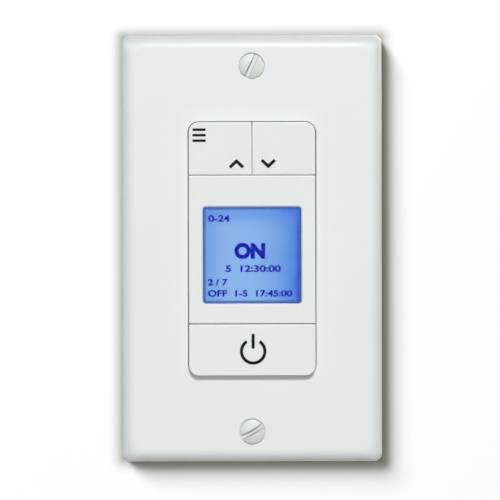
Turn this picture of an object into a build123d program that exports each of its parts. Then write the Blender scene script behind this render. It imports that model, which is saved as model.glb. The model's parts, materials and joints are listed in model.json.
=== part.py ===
from build123d import *
import math
import os

# Timer light switch for a one-gang wall box: a wall plate, a backlit timer face with three keys,
# and the housing behind it with boards, relay and wire clamps.
# Frame: X to the right as seen from the front, Z up, and the face looks along -Y.
# The wall is the plane y = 0. Lengths are in millimetres and angles in degrees.

# Shared clearances and small features
overrun = 3.0               # how far a cutting tool runs past the faces it cuts
running_gap = 0.05          # radial gap of pins, plungers and threads
loose_gap = 0.25            # gap beside a piece that only has to pass
lead_radius = 0.35          # wire leads of the parts on the boards

# Timer face, on which the other outlines depend
face_width = 33.3
face_height = 66.7
face_corner = 2.6
face_proud = 1.9            # how far the face stands in front of the plate
face_edge_round = 0.22
top_key_share = 0.2096      # share of the face's height above the middle of the upper seam
power_key_share = 0.2039
seam = 0.3
key_seam = 0.2
shell_front = 1.5           # thickness of the keys' and the fascia's front
shell_wall = 1.3

# Wall plate
plate_width = 69.85
plate_end = 8.73            # from each plate screw to the plate's end
plate_depth = 6.0
plate_wall = 2.2
plate_corner = 2.0
plate_front_corner = 3.2    # corner radius where the rounded border meets the flat front
border_width = 3.9          # reach of the rounded border in from the sides
border_depth = 4.6          # and back from the front
border_steps = 6
plate_inner_corner = 3.0
plate_inner_round = 1.6
opening_gap = 0.32          # between the timer face and the plate's opening
collar_wall = 1.2           # stiffening collar round the opening, behind the plate
collar_gap = 0.2            # from the collar to the deck behind it
rib_thickness = 1.0
rib_height = 0.8
rib_offset = 7.4            # ribs either side of each plate screw

# Plate screws
plate_screw_step = 6.75     # from a box screw out to the plate screw beside it
oval_head_radius = 3.25
oval_head_dome = 0.75
oval_head_sink = 1.7
plate_screw_radius = 1.7
plate_screw_length = 12.7
screw_slot_width = 1.0
screw_slot_depth = 1.0
plate_screw_tip = 0.6
plate_slot_width = 1.2
plate_slot_depth = 0.9
head_recess_gap = 0.2       # shallow recess round each head
head_recess_depth = 0.4
top_slot_angle = 65
bottom_slot_angle = 29.5

# Strap
strap_thickness = 1.4
ring_rim = 1.5              # how far the ring reaches past the deck at top and bottom
ring_land = 0.75            # steel between the bosses' holes and the window
window_rim = 2.0            # from the deck's ends in to the window's ends
strap_window_corner = 1.5
strap_corner = 2.0
ear_width = 22.0
ear_tip = 4.88              # from each plate screw to the end of its ear
wing_width = 41.0
wing_height = 10.0
wing_step = 4.33            # from a box screw out to the wings' middle
wing_corner = 4.0
score_width = 0.8           # notches where the wings snap off
score_depth = 1.4
box_screw_step = 6.67       # from the deck's end to the box screw beyond it
box_slot_length = 6.6
box_slot_width = 4.0

# Box screws and their retainers
pan_head_radius = 3.5
pan_head_height = 2.1
pan_head_round = 0.8
box_screw_neck = 1.5
box_screw_radius = 1.75
box_screw_length = 25.4
retainer_side = 8.0
retainer_thickness = 0.8

# Ground terminal on the strap's left side
ground_tab_height = 7.0
ground_tab_reach = 8.4      # how far the tab is bent back past the wall plane
ground_tab_stand = 0.3      # from the housing's side to the tab
ground_tab_bend = 1.2
ground_z = -20.5
ground_screw_y = 4.4
ground_screw_radius = 2.0
ground_screw_length = 4.4
hex_head_flats = 6.6
hex_head_height = 2.6

# Front bezel
deck_side = 5.35            # how far the deck reaches past the face at the sides
deck_end = 1.65             # the same at the top and bottom
deck_thickness = 1.4
deck_corner = 3.0
fascia_wall = 1.3
window_side = 3.65          # from the face's side to the window
window_above = 8.32         # from the upper seam's middle down to the window
window_below = 5.3          # from the lower seam's middle up to the window
window_corner = 0.8
window_chamfer = 0.3

# Display stack, from the front
lens_recess = 0.3
lens_flange = 0.9
lens_flange_lip = 1.3
lens_fit = 0.1
polariser_thickness = 0.2
glass_thickness = 0.7
diffuser_thickness = 0.3
guide_thickness = 2.0
film_gap = 0.1
glass_side = 1.0            # how far the glass reaches past the window at the sides
glass_end = 1.95            # the same at the top and bottom
glass_ledge = 3.6           # the rear glass's ledge for the driver chip
driver_length = 12.0
driver_height = 1.4
driver_thickness = 0.5
driver_edge = 1.2           # from the chip to the ledge's edge
led_width = 3.0
led_height = 1.2
led_depth = 1.7
led_pitch = 8.0
tray_wall = 0.8
tray_gap = 0.1
tray_floor = 0.9
tray_top_gap = 0.3
tray_foot = 3.0
tray_foot_inset = 2.0
flex_width = 12.0
flex_thickness = 0.2
flex_bend = 0.5
flex_lap = 0.8
flex_tail = 1.6

# Keys, their trunnions and posts
pivot_depth = 3.5           # from the face back to the rocker axis
pivot_radius = 0.9
trunnion_length = 2.1
ear_thickness = 1.4
ear_radius = 1.7
ear_gap = 0.4
ear_mouth = 1.5             # width of the slot through which the trunnion snaps in
skirt_gap = 0.6             # from the keys' skirts to the deck
key_lever_share = 0.23      # from the rocker axis to each post, as a share of a top key's height
menu_inset = 4.65           # from the face's left side to the menu post
arrow_x = 4.1
post_radius = 1.0
post_gap = 0.05
post_hole_gap = 0.6
guide_inset = 4.15          # from the face's sides to the guide pins
guide_radius = 1.3
guide_reach = 0.8           # past the deck's back
hook_step = 6.0             # from each guide pin in to its hook
hook_thickness = 1.2
hook_width = 3.0
hook_barb = 0.6
hook_tip = 1.0
hook_gap = 0.1

# Switches under the keys
switch_side = 4.4
switch_height = 2.2
switch_cover = 0.4
switch_floor = 0.7
plunger_radius = 1.1
plunger_proud = 0.9
plunger_flange = 1.55
plunger_flange_height = 0.3
plunger_sink = 0.85         # from the cover's front back to the flange
chamber_gap = 0.15

# Logic board
board_gap = 3.0             # from the deck's back to the logic board
board_thickness = 1.6
logic_board_side = 0.3      # from the logic board to the bosses
logic_board_end = 0.4       # from its ends to the housing
board_corner = 1.0
standoff_side = 2.1         # from the board's side to the stakes
standoff_end = 1.6
standoff_step = 2.7         # from the display's tray up to the upper stakes
standoff_radius = 1.4
stake_radius = 0.7
stake_proud = 0.5
chip_side = 10.0
chip_height = 1.4
chip_edge = 0.3
crystal_length = 10.6
crystal_width = 4.6
crystal_height = 3.4
cell_radius = 6.2
cell_height = 2.2
cell_x = 5.0
clip_thickness = 0.3
clip_width = 4.0
clip_foot = 2.0
clip_gap = 0.1

# Header between the boards
header_pin_count = 6
pin_spacing = 2.54
pin_side = 0.64
pin_proud = 1.2
header_width = 2.5
pin_hole_radius = 0.5

# Power board
board_space = 6.8           # between the two boards
power_board_side = 0.8      # from the power board to the housing
power_board_end = 0.6
notch_gap = 0.3             # from the notches to the screw tubes
notch_end_gap = 0.6

# Rear housing
housing_inset = 1.0         # how far the housing's ends stay inside the deck
housing_back_gap = 2.5      # from the relay to the housing's back
housing_wall = 1.6
housing_corner = 3.0
housing_back_round = 1.5
screw_inset = 3.8           # from the housing's sides to its screws
screw_end_inset = 4.5
boss_radius = 1.9
boss_strap_gap = 0.15
boss_length = 11.3          # bezel bosses, from the deck's back through the strap
tube_radius = 3.5
tube_bore = 2.5
tube_floor = 2.0
tube_gap = 0.1

# Housing screws
case_screw_radius = 1.1
case_screw_head = 2.3
case_screw_head_height = 1.8
case_screw_length = 10.0
cross_width = 0.7
cross_length = 2.6
cross_depth = 0.9

# Wire clamps, two on each side
terminal_z = 10.0
pocket_half_height = 4.5
pocket_wall = 1.2
pocket_length = 11.6
pocket_depth = 8.6
lug_thickness = 1.0
lug_half_height = 4.2
lug_length = 10.8
lug_recess = 2.6            # from the housing's side to the lug's outer face
tab_width = 3.0
tab_gap = 0.2
tab_proud = 0.8
clamp_thickness = 1.6
clamp_half_height = 4.4
clamp_length = 8.0
clamp_gap = 0.2
clamp_groove = 0.8
wire_offset = 2.5           # wire holes above and below each screw
wire_hole_radius = 1.4
wire_inset = 1.0            # from the lug's inner face to the wire's axis
terminal_screw_radius = 1.75
terminal_screw_end = 0.5    # from the screw's end to the pocket's floor
terminal_head_radius = 3.5
terminal_head_height = 1.9
terminal_head_gap = 0.1
terminal_head_chamfer = 0.3

# Relay
relay_width = 15.4
relay_height = 19.2
relay_back_gap = 2.4        # from the coil to the case's back
relay_wall = 0.7
relay_base_thickness = 1.4
relay_fit = 0.05
relay_inner_gap = 0.9       # from the case's inner ends to the iron
yoke_thickness = 1.2
yoke_width = 8.0
yoke_x = -1.8
yoke_stand = 0.3            # from the base to the yoke
coil_radius = 3.9
coil_flange_radius = 4.5
coil_flange_thickness = 0.8
core_radius = 1.5
yoke_foot_rise = 3.0        # from the core's axis to the foot's edge
coil_stand = 0.3
core_tip = 0.6
armature_gap = 0.35
armature_rise = 9.0
armature_pin_radius = 0.5
leaf_thickness = 0.35
leaf_width = 2.4
leaf_x = 5.2
leaf_top = 11.0             # from the pivot to the leaf's upper edge
leaf_lap = 4.0
contact_radius = 0.9
contact_height = 0.5
contact_gap = 0.55
contact_strip = 0.5

# Parts on the power board
film_cap_width = 18.0
film_cap_height = 7.0
film_cap_depth = 12.0
parts_apart = 1.2           # from the middle to the round capacitor and to the varistor
round_cap_gap = 1.0         # from the round capacitor to the wire clamps' block
round_cap_short = 1.3       # how much lower it stands than the relay
round_cap_groove = 0.4
round_cap_groove_height = 2.2
disc_gap = 1.4              # from the varistor to the wire clamps' block
disc_thickness = 3.6
disc_edge_round = 1.2
disc_stand = 1.6
lead_spread = 2.6
fuse_radius = 4.0
fuse_height = 7.6
fuse_x = 7.0
choke_core_radius = 2.6
choke_flange_radius = 4.2
choke_flange_thickness = 1.2
choke_height = 9.0
choke_winding_radius = 3.8
choke_x = -7.0
rectifier_width = 8.6
rectifier_height = 6.2
rectifier_depth = 3.2
rectifier_x = 8.0

# Heights of the parts on the boards, as shares of the housing's height from its middle
place_shares = {
    "relay": 0.25, "film_capacitor": 0.015, "header": -0.07, "electrolytic_capacitor": -0.17,
    "varistor": -0.15, "fuse": -0.265, "choke": -0.345, "rectifier": -0.4,
    "microcontroller": 0.09, "crystal": 0.3, "backup_cell": -0.335,
}

# Outlines worked out from the sizes above
deck_width = face_width + 2 * deck_side
deck_height = face_height + 2 * deck_end
strap_ring_width = deck_width
strap_ring_height = deck_height + 2 * ring_rim
strap_window_height = deck_height - 2 * window_rim
box_screw_pitch = deck_height + 2 * box_screw_step
plate_screw_pitch = box_screw_pitch + 2 * plate_screw_step
plate_height = plate_screw_pitch + 2 * plate_end
ear_end = plate_screw_pitch / 2 + ear_tip
wing_centre = box_screw_pitch / 2 + wing_step
housing_width = deck_width
housing_height = deck_height - 2 * housing_inset
screw_x = housing_width / 2 - screw_inset
screw_z = housing_height / 2 - screw_end_inset
strap_window_width = 2 * (screw_x - boss_radius - boss_strap_gap - ring_land)
logic_board_width = 2 * (screw_x - boss_radius - logic_board_side)
logic_board_height = housing_height - 2 * (housing_wall + logic_board_end)
power_board_width = housing_width - 2 * (housing_wall + power_board_side)
power_board_height = housing_height - 2 * (housing_wall + power_board_end)
board_notch = power_board_width / 2 - screw_x + tube_radius + notch_gap
board_notch_height = power_board_height / 2 - screw_z + tube_radius + notch_end_gap
relay_z = place_shares["relay"] * housing_height
film_cap_z = place_shares["film_capacitor"] * housing_height
header_z = place_shares["header"] * housing_height
round_cap_z = place_shares["electrolytic_capacitor"] * housing_height
disc_z = place_shares["varistor"] * housing_height
fuse_z = place_shares["fuse"] * housing_height
choke_z = place_shares["choke"] * housing_height
rectifier_z = place_shares["rectifier"] * housing_height
chip_z = place_shares["microcontroller"] * housing_height
crystal_z = place_shares["crystal"] * housing_height
cell_z = place_shares["backup_cell"] * housing_height

# Places worked out from the sizes above
face_y = -(plate_depth + face_proud)
plate_back_y = plate_wall - plate_depth
strap_front_y = -strap_thickness
deck_front_y = strap_front_y - deck_thickness
shell_back_y = face_y + shell_front
skirt_back_y = deck_front_y - skirt_gap
pivot_y = face_y + pivot_depth
top_key_height = top_key_share * face_height
top_seam_z = face_height / 2 - top_key_height
power_seam_z = power_key_share * face_height - face_height / 2
key_axis_z = (face_height / 2 + top_seam_z) / 2
power_key_z = (power_seam_z - face_height / 2) / 2
key_lever = key_lever_share * top_key_height
menu_x = menu_inset - face_width / 2
guide_x = face_width / 2 - guide_inset
hook_x = guide_x - hook_step
window_top_z = top_seam_z - window_above
window_bottom_z = power_seam_z + window_below
window_z = (window_top_z + window_bottom_z) / 2
window_width = face_width - 2 * window_side
window_height = window_top_z - window_bottom_z
menu_z = key_axis_z + key_lever
arrow_z = key_axis_z - key_lever
logic_front_y = strap_front_y + board_gap
logic_back_y = logic_front_y + board_thickness
power_front_y = logic_back_y + board_space
power_back_y = power_front_y + board_thickness
switch_front_y = logic_front_y - switch_height
plunger_top_y = switch_front_y - plunger_proud
boss_end_y = strap_front_y + boss_length
tube_start_y = boss_end_y + tube_gap
pocket_start_y = power_back_y + pocket_wall
pocket_end_y = pocket_start_y + pocket_length
terminal_y = (pocket_start_y + pocket_end_y) / 2
housing_side = housing_width / 2
pocket_floor_x = housing_side - pocket_depth
block_inner_x = pocket_floor_x - pocket_wall
relay_depth = (
    relay_base_thickness + yoke_stand + yoke_thickness + coil_stand + 2 * coil_flange_radius
    + relay_back_gap + relay_wall
)
housing_depth = power_back_y + relay_depth + housing_back_gap + housing_wall
round_cap_height = relay_depth - round_cap_short
round_cap_radius = (block_inner_x - parts_apart - round_cap_gap) / 2
round_cap_x = -(parts_apart + round_cap_radius)
disc_radius = (block_inner_x - parts_apart - disc_gap) / 2
disc_x = parts_apart + disc_radius
lug_outer_x = housing_side - lug_recess
lug_inner_x = lug_outer_x - lug_thickness
clamp_outer_x = lug_inner_x - clamp_gap
lens_back_y = shell_back_y + lens_flange
glass_half_width = window_width / 2 + glass_side
glass_bottom_z = window_bottom_z - glass_end
front_glass_top_z = window_top_z + glass_end
rear_glass_top_z = front_glass_top_z + glass_ledge
tray_top_z = rear_glass_top_z + tray_top_gap + tray_wall
standoff_x = logic_board_width / 2 - standoff_side
standoff_top_z = tray_top_z + standoff_step
standoff_bottom_z = standoff_end - logic_board_height / 2
polariser_back_y = lens_back_y + film_gap + polariser_thickness
front_glass_back_y = polariser_back_y + glass_thickness
rear_glass_back_y = front_glass_back_y + glass_thickness
rear_film_back_y = rear_glass_back_y + polariser_thickness
diffuser_back_y = rear_film_back_y + diffuser_thickness
guide_back_y = diffuser_back_y + guide_thickness
tray_back_y = guide_back_y + tray_floor
switch_places = {
    "menu": (menu_x, menu_z),
    "up": (-arrow_x, arrow_z),
    "down": (arrow_x, arrow_z),
    "power": (0, power_key_z),
}


def block(x0, x1, y0, y1, z0, z1):
    """Box between two opposite corners."""
    return Pos((x0 + x1) / 2, (y0 + y1) / 2, (z0 + z1) / 2) * Box(x1 - x0, y1 - y0, z1 - z0)


def slab(width, height, y0, y1, corner=0, x=0, z=0):
    """Plate square to Y from y0 back to y1, its corners rounded if a radius is given."""
    outline = RectangleRounded(width, height, corner) if corner else Rectangle(width, height)
    return Pos(x, y1, z) * Rot(90, 0, 0) * extrude(outline, y1 - y0)


def rod_y(radius, y0, y1, x, z):
    """Round bar along Y."""
    return Pos(x, (y0 + y1) / 2, z) * Rot(90, 0, 0) * Cylinder(radius, y1 - y0)


def rod_x(radius, x0, x1, y, z):
    """Round bar along X."""
    return Pos((x0 + x1) / 2, y, z) * Rot(0, 90, 0) * Cylinder(radius, x1 - x0)


def rod_z(radius, z0, z1, x, y):
    """Round bar along Z."""
    return Pos(x, y, (z0 + z1) / 2) * Cylinder(radius, z1 - z0)


def front_edges(shape):
    """Edges of the face that lies furthest to the front."""
    return shape.faces().sort_by(Axis.Y)[0].edges()


def turned(outline):
    """Solid of revolution about Z from an outline drawn as radius and height."""
    return revolve(Plane.XZ * make_face(outline), Axis.Z)


def dome_arc(radius, rise):
    """Arc from the top of a shallow dome on the axis down to its rim at height zero."""
    sphere = (radius ** 2 + rise ** 2) / (2 * rise)
    half = math.asin(radius / sphere) / 2
    middle = (sphere * math.sin(half), rise - sphere + sphere * math.cos(half))
    return ThreePointArc((0, rise), middle, (radius, 0))


def group(pieces):
    """Several separate solids kept together as one node."""
    return Compound(children=[piece.solid() for piece in pieces])


def corners():
    """The four places of the housing screws."""
    return [(sx * screw_x, sz * screw_z) for sx in (-1, 1) for sz in (-1, 1)]


# Wall plate and its screws

def wall_plate():
    """Hollow plate with a rounded border, the opening with its collar, ribs and two sunk holes."""
    body = slab(plate_width, plate_height, border_depth - plate_depth, 0, plate_corner)
    body += loft([border_outline(90 * step / border_steps) for step in range(border_steps + 1)])
    hollow = slab(
        plate_width - 2 * plate_wall, plate_height - 2 * plate_wall, plate_back_y, overrun,
        plate_inner_corner,
    )
    body -= fillet(front_edges(hollow), plate_inner_round)
    opening_width = face_width + 2 * opening_gap
    opening_height = face_height + 2 * opening_gap
    opening_corner = face_corner + opening_gap
    body += slab(
        opening_width + 2 * collar_wall, opening_height + 2 * collar_wall,
        plate_back_y, deck_front_y - collar_gap, opening_corner + collar_wall,
    )
    for side in (-1, 1):
        for x in (-rib_offset, rib_offset):
            inner = side * (opening_height / 2 + collar_wall / 2)
            outer = side * (plate_height / 2 - plate_wall / 2)
            body += block(
                x - rib_thickness / 2, x + rib_thickness / 2,
                plate_back_y, plate_back_y + rib_height, min(inner, outer), max(inner, outer),
            )
    body -= slab(opening_width, opening_height, -plate_depth - overrun, overrun, opening_corner)
    for z in (-plate_screw_pitch / 2, plate_screw_pitch / 2):
        body -= rod_y(plate_screw_radius + loose_gap, -plate_depth - overrun, overrun, 0, z)
        cone_radius = oval_head_radius + running_gap
        cone = Cone(plate_screw_radius + loose_gap, cone_radius, oval_head_sink)
        body -= Pos(0, -plate_depth + oval_head_sink / 2, z) * Rot(90, 0, 0) * cone
        recess_radius = oval_head_radius + head_recess_gap
        body -= rod_y(recess_radius, -plate_depth - overrun, head_recess_depth - plate_depth, 0, z)
    return body


def border_outline(angle):
    """Outline of the plate where its border has turned by an angle from the side to the front."""
    turn = 1 - math.cos(math.radians(angle))
    inset = border_width * turn
    y = border_depth * (1 - math.sin(math.radians(angle))) - plate_depth
    corner = plate_corner + (plate_front_corner - plate_corner) * turn
    outline = RectangleRounded(plate_width - 2 * inset, plate_height - 2 * inset, corner)
    return (Pos(0, y, 0) * Rot(90, 0, 0) * outline).face()


def oval_screw(angle):
    """Oval-headed plate screw along Z, head up, with a slot turned by the angle."""
    end = -plate_screw_length
    outline = dome_arc(oval_head_radius, oval_head_dome).edges() + Polyline(
        (oval_head_radius, 0), (plate_screw_radius, -oval_head_sink),
        (plate_screw_radius, end + plate_screw_tip), (plate_screw_radius - plate_screw_tip, end),
        (0, end), (0, oval_head_dome),
    ).edges()
    slot = Pos(0, 0, oval_head_dome) * Box(2 * oval_head_radius, plate_slot_width, 2 * plate_slot_depth)
    return turned(outline) - Rot(0, 0, angle) * slot


def plate_screws():
    """The two screws that hold the plate to the strap."""
    places = ((plate_screw_pitch / 2, top_slot_angle), (-plate_screw_pitch / 2, bottom_slot_angle))
    return group([Pos(0, -plate_depth, z) * Rot(90, 0, 0) * oval_screw(angle) for z, angle in places])


# Strap with its screws

def mounting_strap():
    """Steel strap: ring round the timer, ears with slots, snap-off wings, ground tab."""
    strap = slab(strap_ring_width, strap_ring_height, strap_front_y, 0, strap_corner)
    strap += slab(ear_width, 2 * ear_end, strap_front_y, 0, strap_corner)
    for side in (-1, 1):
        wing = slab(wing_width, wing_height, strap_front_y, 0, wing_corner, z=side * wing_centre)
        for x in (-ear_width / 2, ear_width / 2):
            for edge in (-1, 1):
                z = side * wing_centre + edge * wing_height / 2
                wing -= slab(score_width, 2 * score_depth, strap_front_y, 0, x=x, z=z)
        strap += wing
    strap += ground_tab()
    strap -= slab(strap_window_width, strap_window_height, -overrun, overrun, strap_window_corner)
    for side in (-1, 1):
        slot = Pos(0, overrun, side * box_screw_pitch / 2) * Rot(90, 0, 0)
        strap -= slot * extrude(SlotOverall(box_slot_length, box_slot_width), 2 * overrun)
        hole = plate_screw_radius + running_gap
        strap -= rod_y(hole, -overrun, overrun, 0, side * plate_screw_pitch / 2)
    for x, z in corners():
        strap -= rod_y(boss_radius + boss_strap_gap, -overrun, overrun, x, z)
    return strap


def ground_tab():
    """Tab bent back from the strap's left edge, threaded for the ground screw."""
    inner = -housing_side - ground_tab_stand
    outer = inner - strap_thickness
    low = ground_z - ground_tab_height / 2
    high = ground_z + ground_tab_height / 2
    flat = block(outer, -strap_ring_width / 2 + strap_corner, strap_front_y, 0, low, high)
    leg = block(outer, inner, strap_front_y, ground_tab_reach, low, high)
    tab = flat + leg
    bend = tab.edges().filter_by(Axis.Z).sort_by(Axis.X)[:2].sort_by(Axis.Y)[0]
    tab = fillet(bend, ground_tab_bend)
    radius = ground_screw_radius + running_gap
    return tab - rod_x(radius, outer - overrun, inner + overrun, ground_screw_y, ground_z)


def ground_screw():
    """Hexagonal ground screw, driven from the left into the tab."""
    hexagon = RegularPolygon(hex_head_flats / 2, 6, major_radius=False)
    head = extrude(hexagon, hex_head_height / 2, both=True)
    head -= Pos(0, 0, hex_head_height / 2) * Box(2 * hex_head_flats, screw_slot_width, 2 * screw_slot_depth)
    shank = Pos(0, 0, -(hex_head_height + ground_screw_length) / 2)
    screw = head + shank * Cylinder(ground_screw_radius, ground_screw_length)
    seat = -housing_side - ground_tab_stand - strap_thickness
    return Pos(seat - hex_head_height / 2, ground_screw_y, ground_z) * Rot(0, -90, 0) * screw


def box_screw():
    """Pan-headed screw along Z, head up: a neck in the strap and retainer, then the thread."""
    head = Pos(0, 0, pan_head_height / 2) * Cylinder(pan_head_radius, pan_head_height)
    head = fillet(head.edges().sort_by(Axis.Z)[-1], pan_head_round)
    head -= Pos(0, 0, pan_head_height) * Box(2 * pan_head_radius, screw_slot_width, 2 * screw_slot_depth)
    neck_length = strap_thickness + retainer_thickness + running_gap
    neck = Pos(0, 0, -neck_length / 2) * Cylinder(box_screw_neck, neck_length)
    thread_length = box_screw_length - neck_length
    thread = Pos(0, 0, -neck_length - thread_length / 2) * Cylinder(box_screw_radius, thread_length)
    return head + neck + thread


def box_screws():
    """The two screws that hold the strap to the wall box."""
    places = (box_screw_pitch / 2, -box_screw_pitch / 2)
    return group([Pos(0, strap_front_y, z) * Rot(90, 0, 0) * box_screw() for z in places])


def screw_retainers():
    """Square fibre washers that keep the box screws in the strap."""
    pieces = []
    for z in (box_screw_pitch / 2, -box_screw_pitch / 2):
        washer = slab(retainer_side, retainer_side, 0, retainer_thickness, z=z)
        hole = rod_y(box_screw_neck + running_gap, -overrun, overrun, 0, z)
        pieces.append(washer - hole)
    return group(pieces)


# Front bezel

def face_cell(x0, x1, z0, z1, y_back):
    """Part of the timer face between two corners, with softened front edges."""
    whole = slab(face_width, face_height, face_y, y_back, face_corner)
    cell = whole & block(x0, x1, face_y - overrun, y_back + overrun, z0, z1)
    return fillet(front_edges(cell), face_edge_round)


def face_hollow(x0, x1, z0, z1, y_back, wall):
    """Inside of such a part, one wall in from its edges and behind its front."""
    whole = slab(face_width - 2 * wall, face_height - 2 * wall, shell_back_y, y_back, face_corner - wall)
    return whole & block(x0 + wall, x1 - wall, shell_back_y, y_back, z0 + wall, z1 - wall)


def key_ear(x0):
    """Upright ear with an open trunnion seat, its front slot narrower than the trunnion."""
    x1 = x0 + ear_thickness
    ear = block(x0, x1, pivot_y, deck_front_y, key_axis_z - ear_radius, key_axis_z + ear_radius)
    ear += rod_x(ear_radius, x0, x1, pivot_y, key_axis_z)
    ear -= rod_x(pivot_radius + running_gap, x0 - overrun, x1 + overrun, pivot_y, key_axis_z)
    return ear - block(
        x0 - overrun, x1 + overrun, pivot_y - overrun, pivot_y,
        key_axis_z - ear_mouth / 2, key_axis_z + ear_mouth / 2,
    )


def ear_places():
    """Left edge of each of the four ears: two inside each top key."""
    outer = face_width / 2 - shell_wall - ear_gap
    inner = key_seam / 2 + shell_wall + ear_gap
    return [-outer, -inner - ear_thickness, inner, outer - ear_thickness]


def front_bezel():
    """Deck behind the keys, raised fascia with the display window, ears, standoffs and long bosses."""
    half = face_width / 2
    low = power_seam_z + seam / 2
    high = top_seam_z - seam / 2
    bezel = slab(deck_width, deck_height, deck_front_y, strap_front_y, deck_corner)
    bezel += face_cell(-half, half, low, high, deck_front_y)
    bezel -= face_hollow(-half, half, low, high, overrun, fascia_wall)
    window = slab(window_width, window_height, face_y - overrun, shell_back_y, window_corner, z=window_z)
    bezel -= window
    rim = bezel.faces().sort_by(Axis.Y)[0].inner_wires()[0].edges()
    bezel = chamfer(rim, window_chamfer)
    for x0 in ear_places():
        bezel += key_ear(x0)
    for x, z in switch_places.values():
        bezel -= rod_y(post_radius + post_hole_gap, deck_front_y - overrun, overrun, x, z)
    for side in (-1, 1):
        bore = guide_radius + running_gap
        bezel -= rod_y(bore, deck_front_y - overrun, overrun, side * guide_x, power_key_z)
        slot_width = hook_thickness + hook_barb + 2 * loose_gap
        slot_x = side * (hook_x + hook_barb / 2)
        bezel -= slab(
            slot_width, hook_width + 2 * loose_gap, deck_front_y - overrun, overrun, x=slot_x, z=power_key_z
        )
    for x, z in standoff_places():
        bezel += rod_y(standoff_radius, strap_front_y, logic_front_y, x, z)
        bezel += rod_y(stake_radius, logic_front_y, logic_back_y + stake_proud, x, z)
    for x, z in corners():
        bezel += rod_y(boss_radius, strap_front_y, boss_end_y, x, z)
        bezel -= rod_y(case_screw_radius + running_gap, strap_front_y, boss_end_y + overrun, x, z)
    return bezel


def standoff_places():
    """Places of the stakes that carry the logic board."""
    return [(side * standoff_x, z) for side in (-1, 1) for z in (standoff_top_z, standoff_bottom_z)]


# Keys

def key_post(x, z):
    """Round-ended post from a key's front back to the plunger of its switch."""
    tip = plunger_top_y - post_gap
    post = rod_y(post_radius, shell_back_y, tip - post_radius, x, z)
    return post + Pos(x, tip - post_radius, z) * Sphere(post_radius)


def rocker_key(x0, x1, posts):
    """Hollow top key that rocks on two trunnions inside its side walls."""
    low = top_seam_z + seam / 2
    high = face_height / 2
    key = face_cell(x0, x1, low, high, skirt_back_y)
    key -= face_hollow(x0, x1, low, high, overrun, shell_wall)
    left = x0 + shell_wall
    right = x1 - shell_wall
    key += rod_x(pivot_radius, left - shell_wall / 2, left + trunnion_length, pivot_y, key_axis_z)
    key += rod_x(pivot_radius, right - trunnion_length, right + shell_wall / 2, pivot_y, key_axis_z)
    for x, z in posts:
        key += key_post(x, z)
    return key


def power_key():
    """Wide bottom key that is pushed straight in, on two guide pins and two snap hooks."""
    half = face_width / 2
    low = -face_height / 2
    high = power_seam_z - seam / 2
    key = face_cell(-half, half, low, high, skirt_back_y)
    key -= face_hollow(-half, half, low, high, overrun, shell_wall)
    key += key_post(*switch_places["power"])
    for side in (-1, 1):
        key += rod_y(guide_radius, shell_back_y, strap_front_y + guide_reach, side * guide_x, power_key_z)
        leg = block(
            -hook_thickness / 2, hook_thickness / 2, shell_back_y, strap_front_y + hook_gap + hook_tip,
            -hook_width / 2, hook_width / 2,
        )
        barb = extrude(
            Polygon(
                (0, strap_front_y + hook_gap), (hook_thickness / 2 + hook_barb, strap_front_y + hook_gap),
                (hook_thickness / 2, strap_front_y + hook_gap + hook_tip),
                (0, strap_front_y + hook_gap + hook_tip), align=None,
            ),
            hook_width / 2, both=True,
        )
        hook = leg + barb
        if side < 0:
            hook = mirror(hook, Plane.YZ)
        key += Pos(side * hook_x, 0, power_key_z) * hook
    return key


# Switches

def switch_base(x, z):
    """Case of one push switch with its bore and the chamber behind it."""
    base = slab(switch_side, switch_side, switch_front_y, logic_front_y, switch_cover, x, z)
    base -= rod_y(plunger_radius + running_gap, switch_front_y - overrun, switch_front_y + switch_cover, x, z)
    chamber_back = logic_front_y - switch_floor
    return base - rod_y(plunger_flange + chamber_gap, switch_front_y + switch_cover, chamber_back, x, z)


def plunger(x, z):
    """Round button of one push switch, kept in by a flange."""
    flange_front = switch_front_y + plunger_sink
    flange_back = flange_front + plunger_flange_height
    stem = rod_y(plunger_radius, plunger_top_y, flange_back, x, z)
    return stem + rod_y(plunger_flange, flange_front, flange_back, x, z)


# Display

def glass_sheet(front_y, thickness, top_z):
    """Sheet of the display stack, from its common lower edge up to top_z."""
    return block(
        -glass_half_width, glass_half_width, front_y, front_y + thickness, glass_bottom_z, top_z
    )


def display_window():
    """Clear window: a plug that fills the fascia's opening and a flange behind it."""
    plug = slab(
        window_width - 2 * lens_fit, window_height - 2 * lens_fit,
        face_y + lens_recess, shell_back_y, window_corner, z=window_z,
    )
    flange = slab(
        window_width + 2 * lens_flange_lip, window_height + 2 * lens_flange_lip,
        shell_back_y, lens_back_y, window_corner, z=window_z,
    )
    return plug + flange


def driver_chip():
    """Long driver chip on the rear glass's ledge."""
    high = rear_glass_top_z - driver_edge
    return block(
        -driver_length / 2, driver_length / 2, front_glass_back_y - driver_thickness, front_glass_back_y,
        high - driver_height, high,
    )


def backlight_leds():
    """Three lamps on the tray's floor at the light guide's upper edge."""
    middle_z = front_glass_top_z + tray_gap + led_height / 2
    return group([
        slab(led_width, led_height, guide_back_y - led_depth, guide_back_y, x=x, z=middle_z)
        for x in (-led_pitch, 0, led_pitch)
    ])


def display_tray():
    """Tray that holds the stack, open to the front, slotted at the top for the flex, on four feet."""
    half = glass_half_width + tray_gap
    low = glass_bottom_z - tray_gap
    high = rear_glass_top_z + tray_top_gap
    tray = block(
        -half - tray_wall, half + tray_wall, lens_back_y, tray_back_y, low - tray_wall, high + tray_wall
    )
    tray -= block(-half, half, lens_back_y - overrun, guide_back_y, low, high)
    slot = flex_width / 2 + loose_gap
    tray -= block(-slot, slot, lens_back_y - overrun, overrun, high - tray_gap, high + overrun)
    for x in (-half + tray_foot_inset, half - tray_foot_inset):
        for z in (low + tray_foot_inset, high - tray_foot_inset):
            tray += slab(tray_foot, tray_foot, tray_back_y, logic_front_y, x=x, z=z)
    return tray


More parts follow.
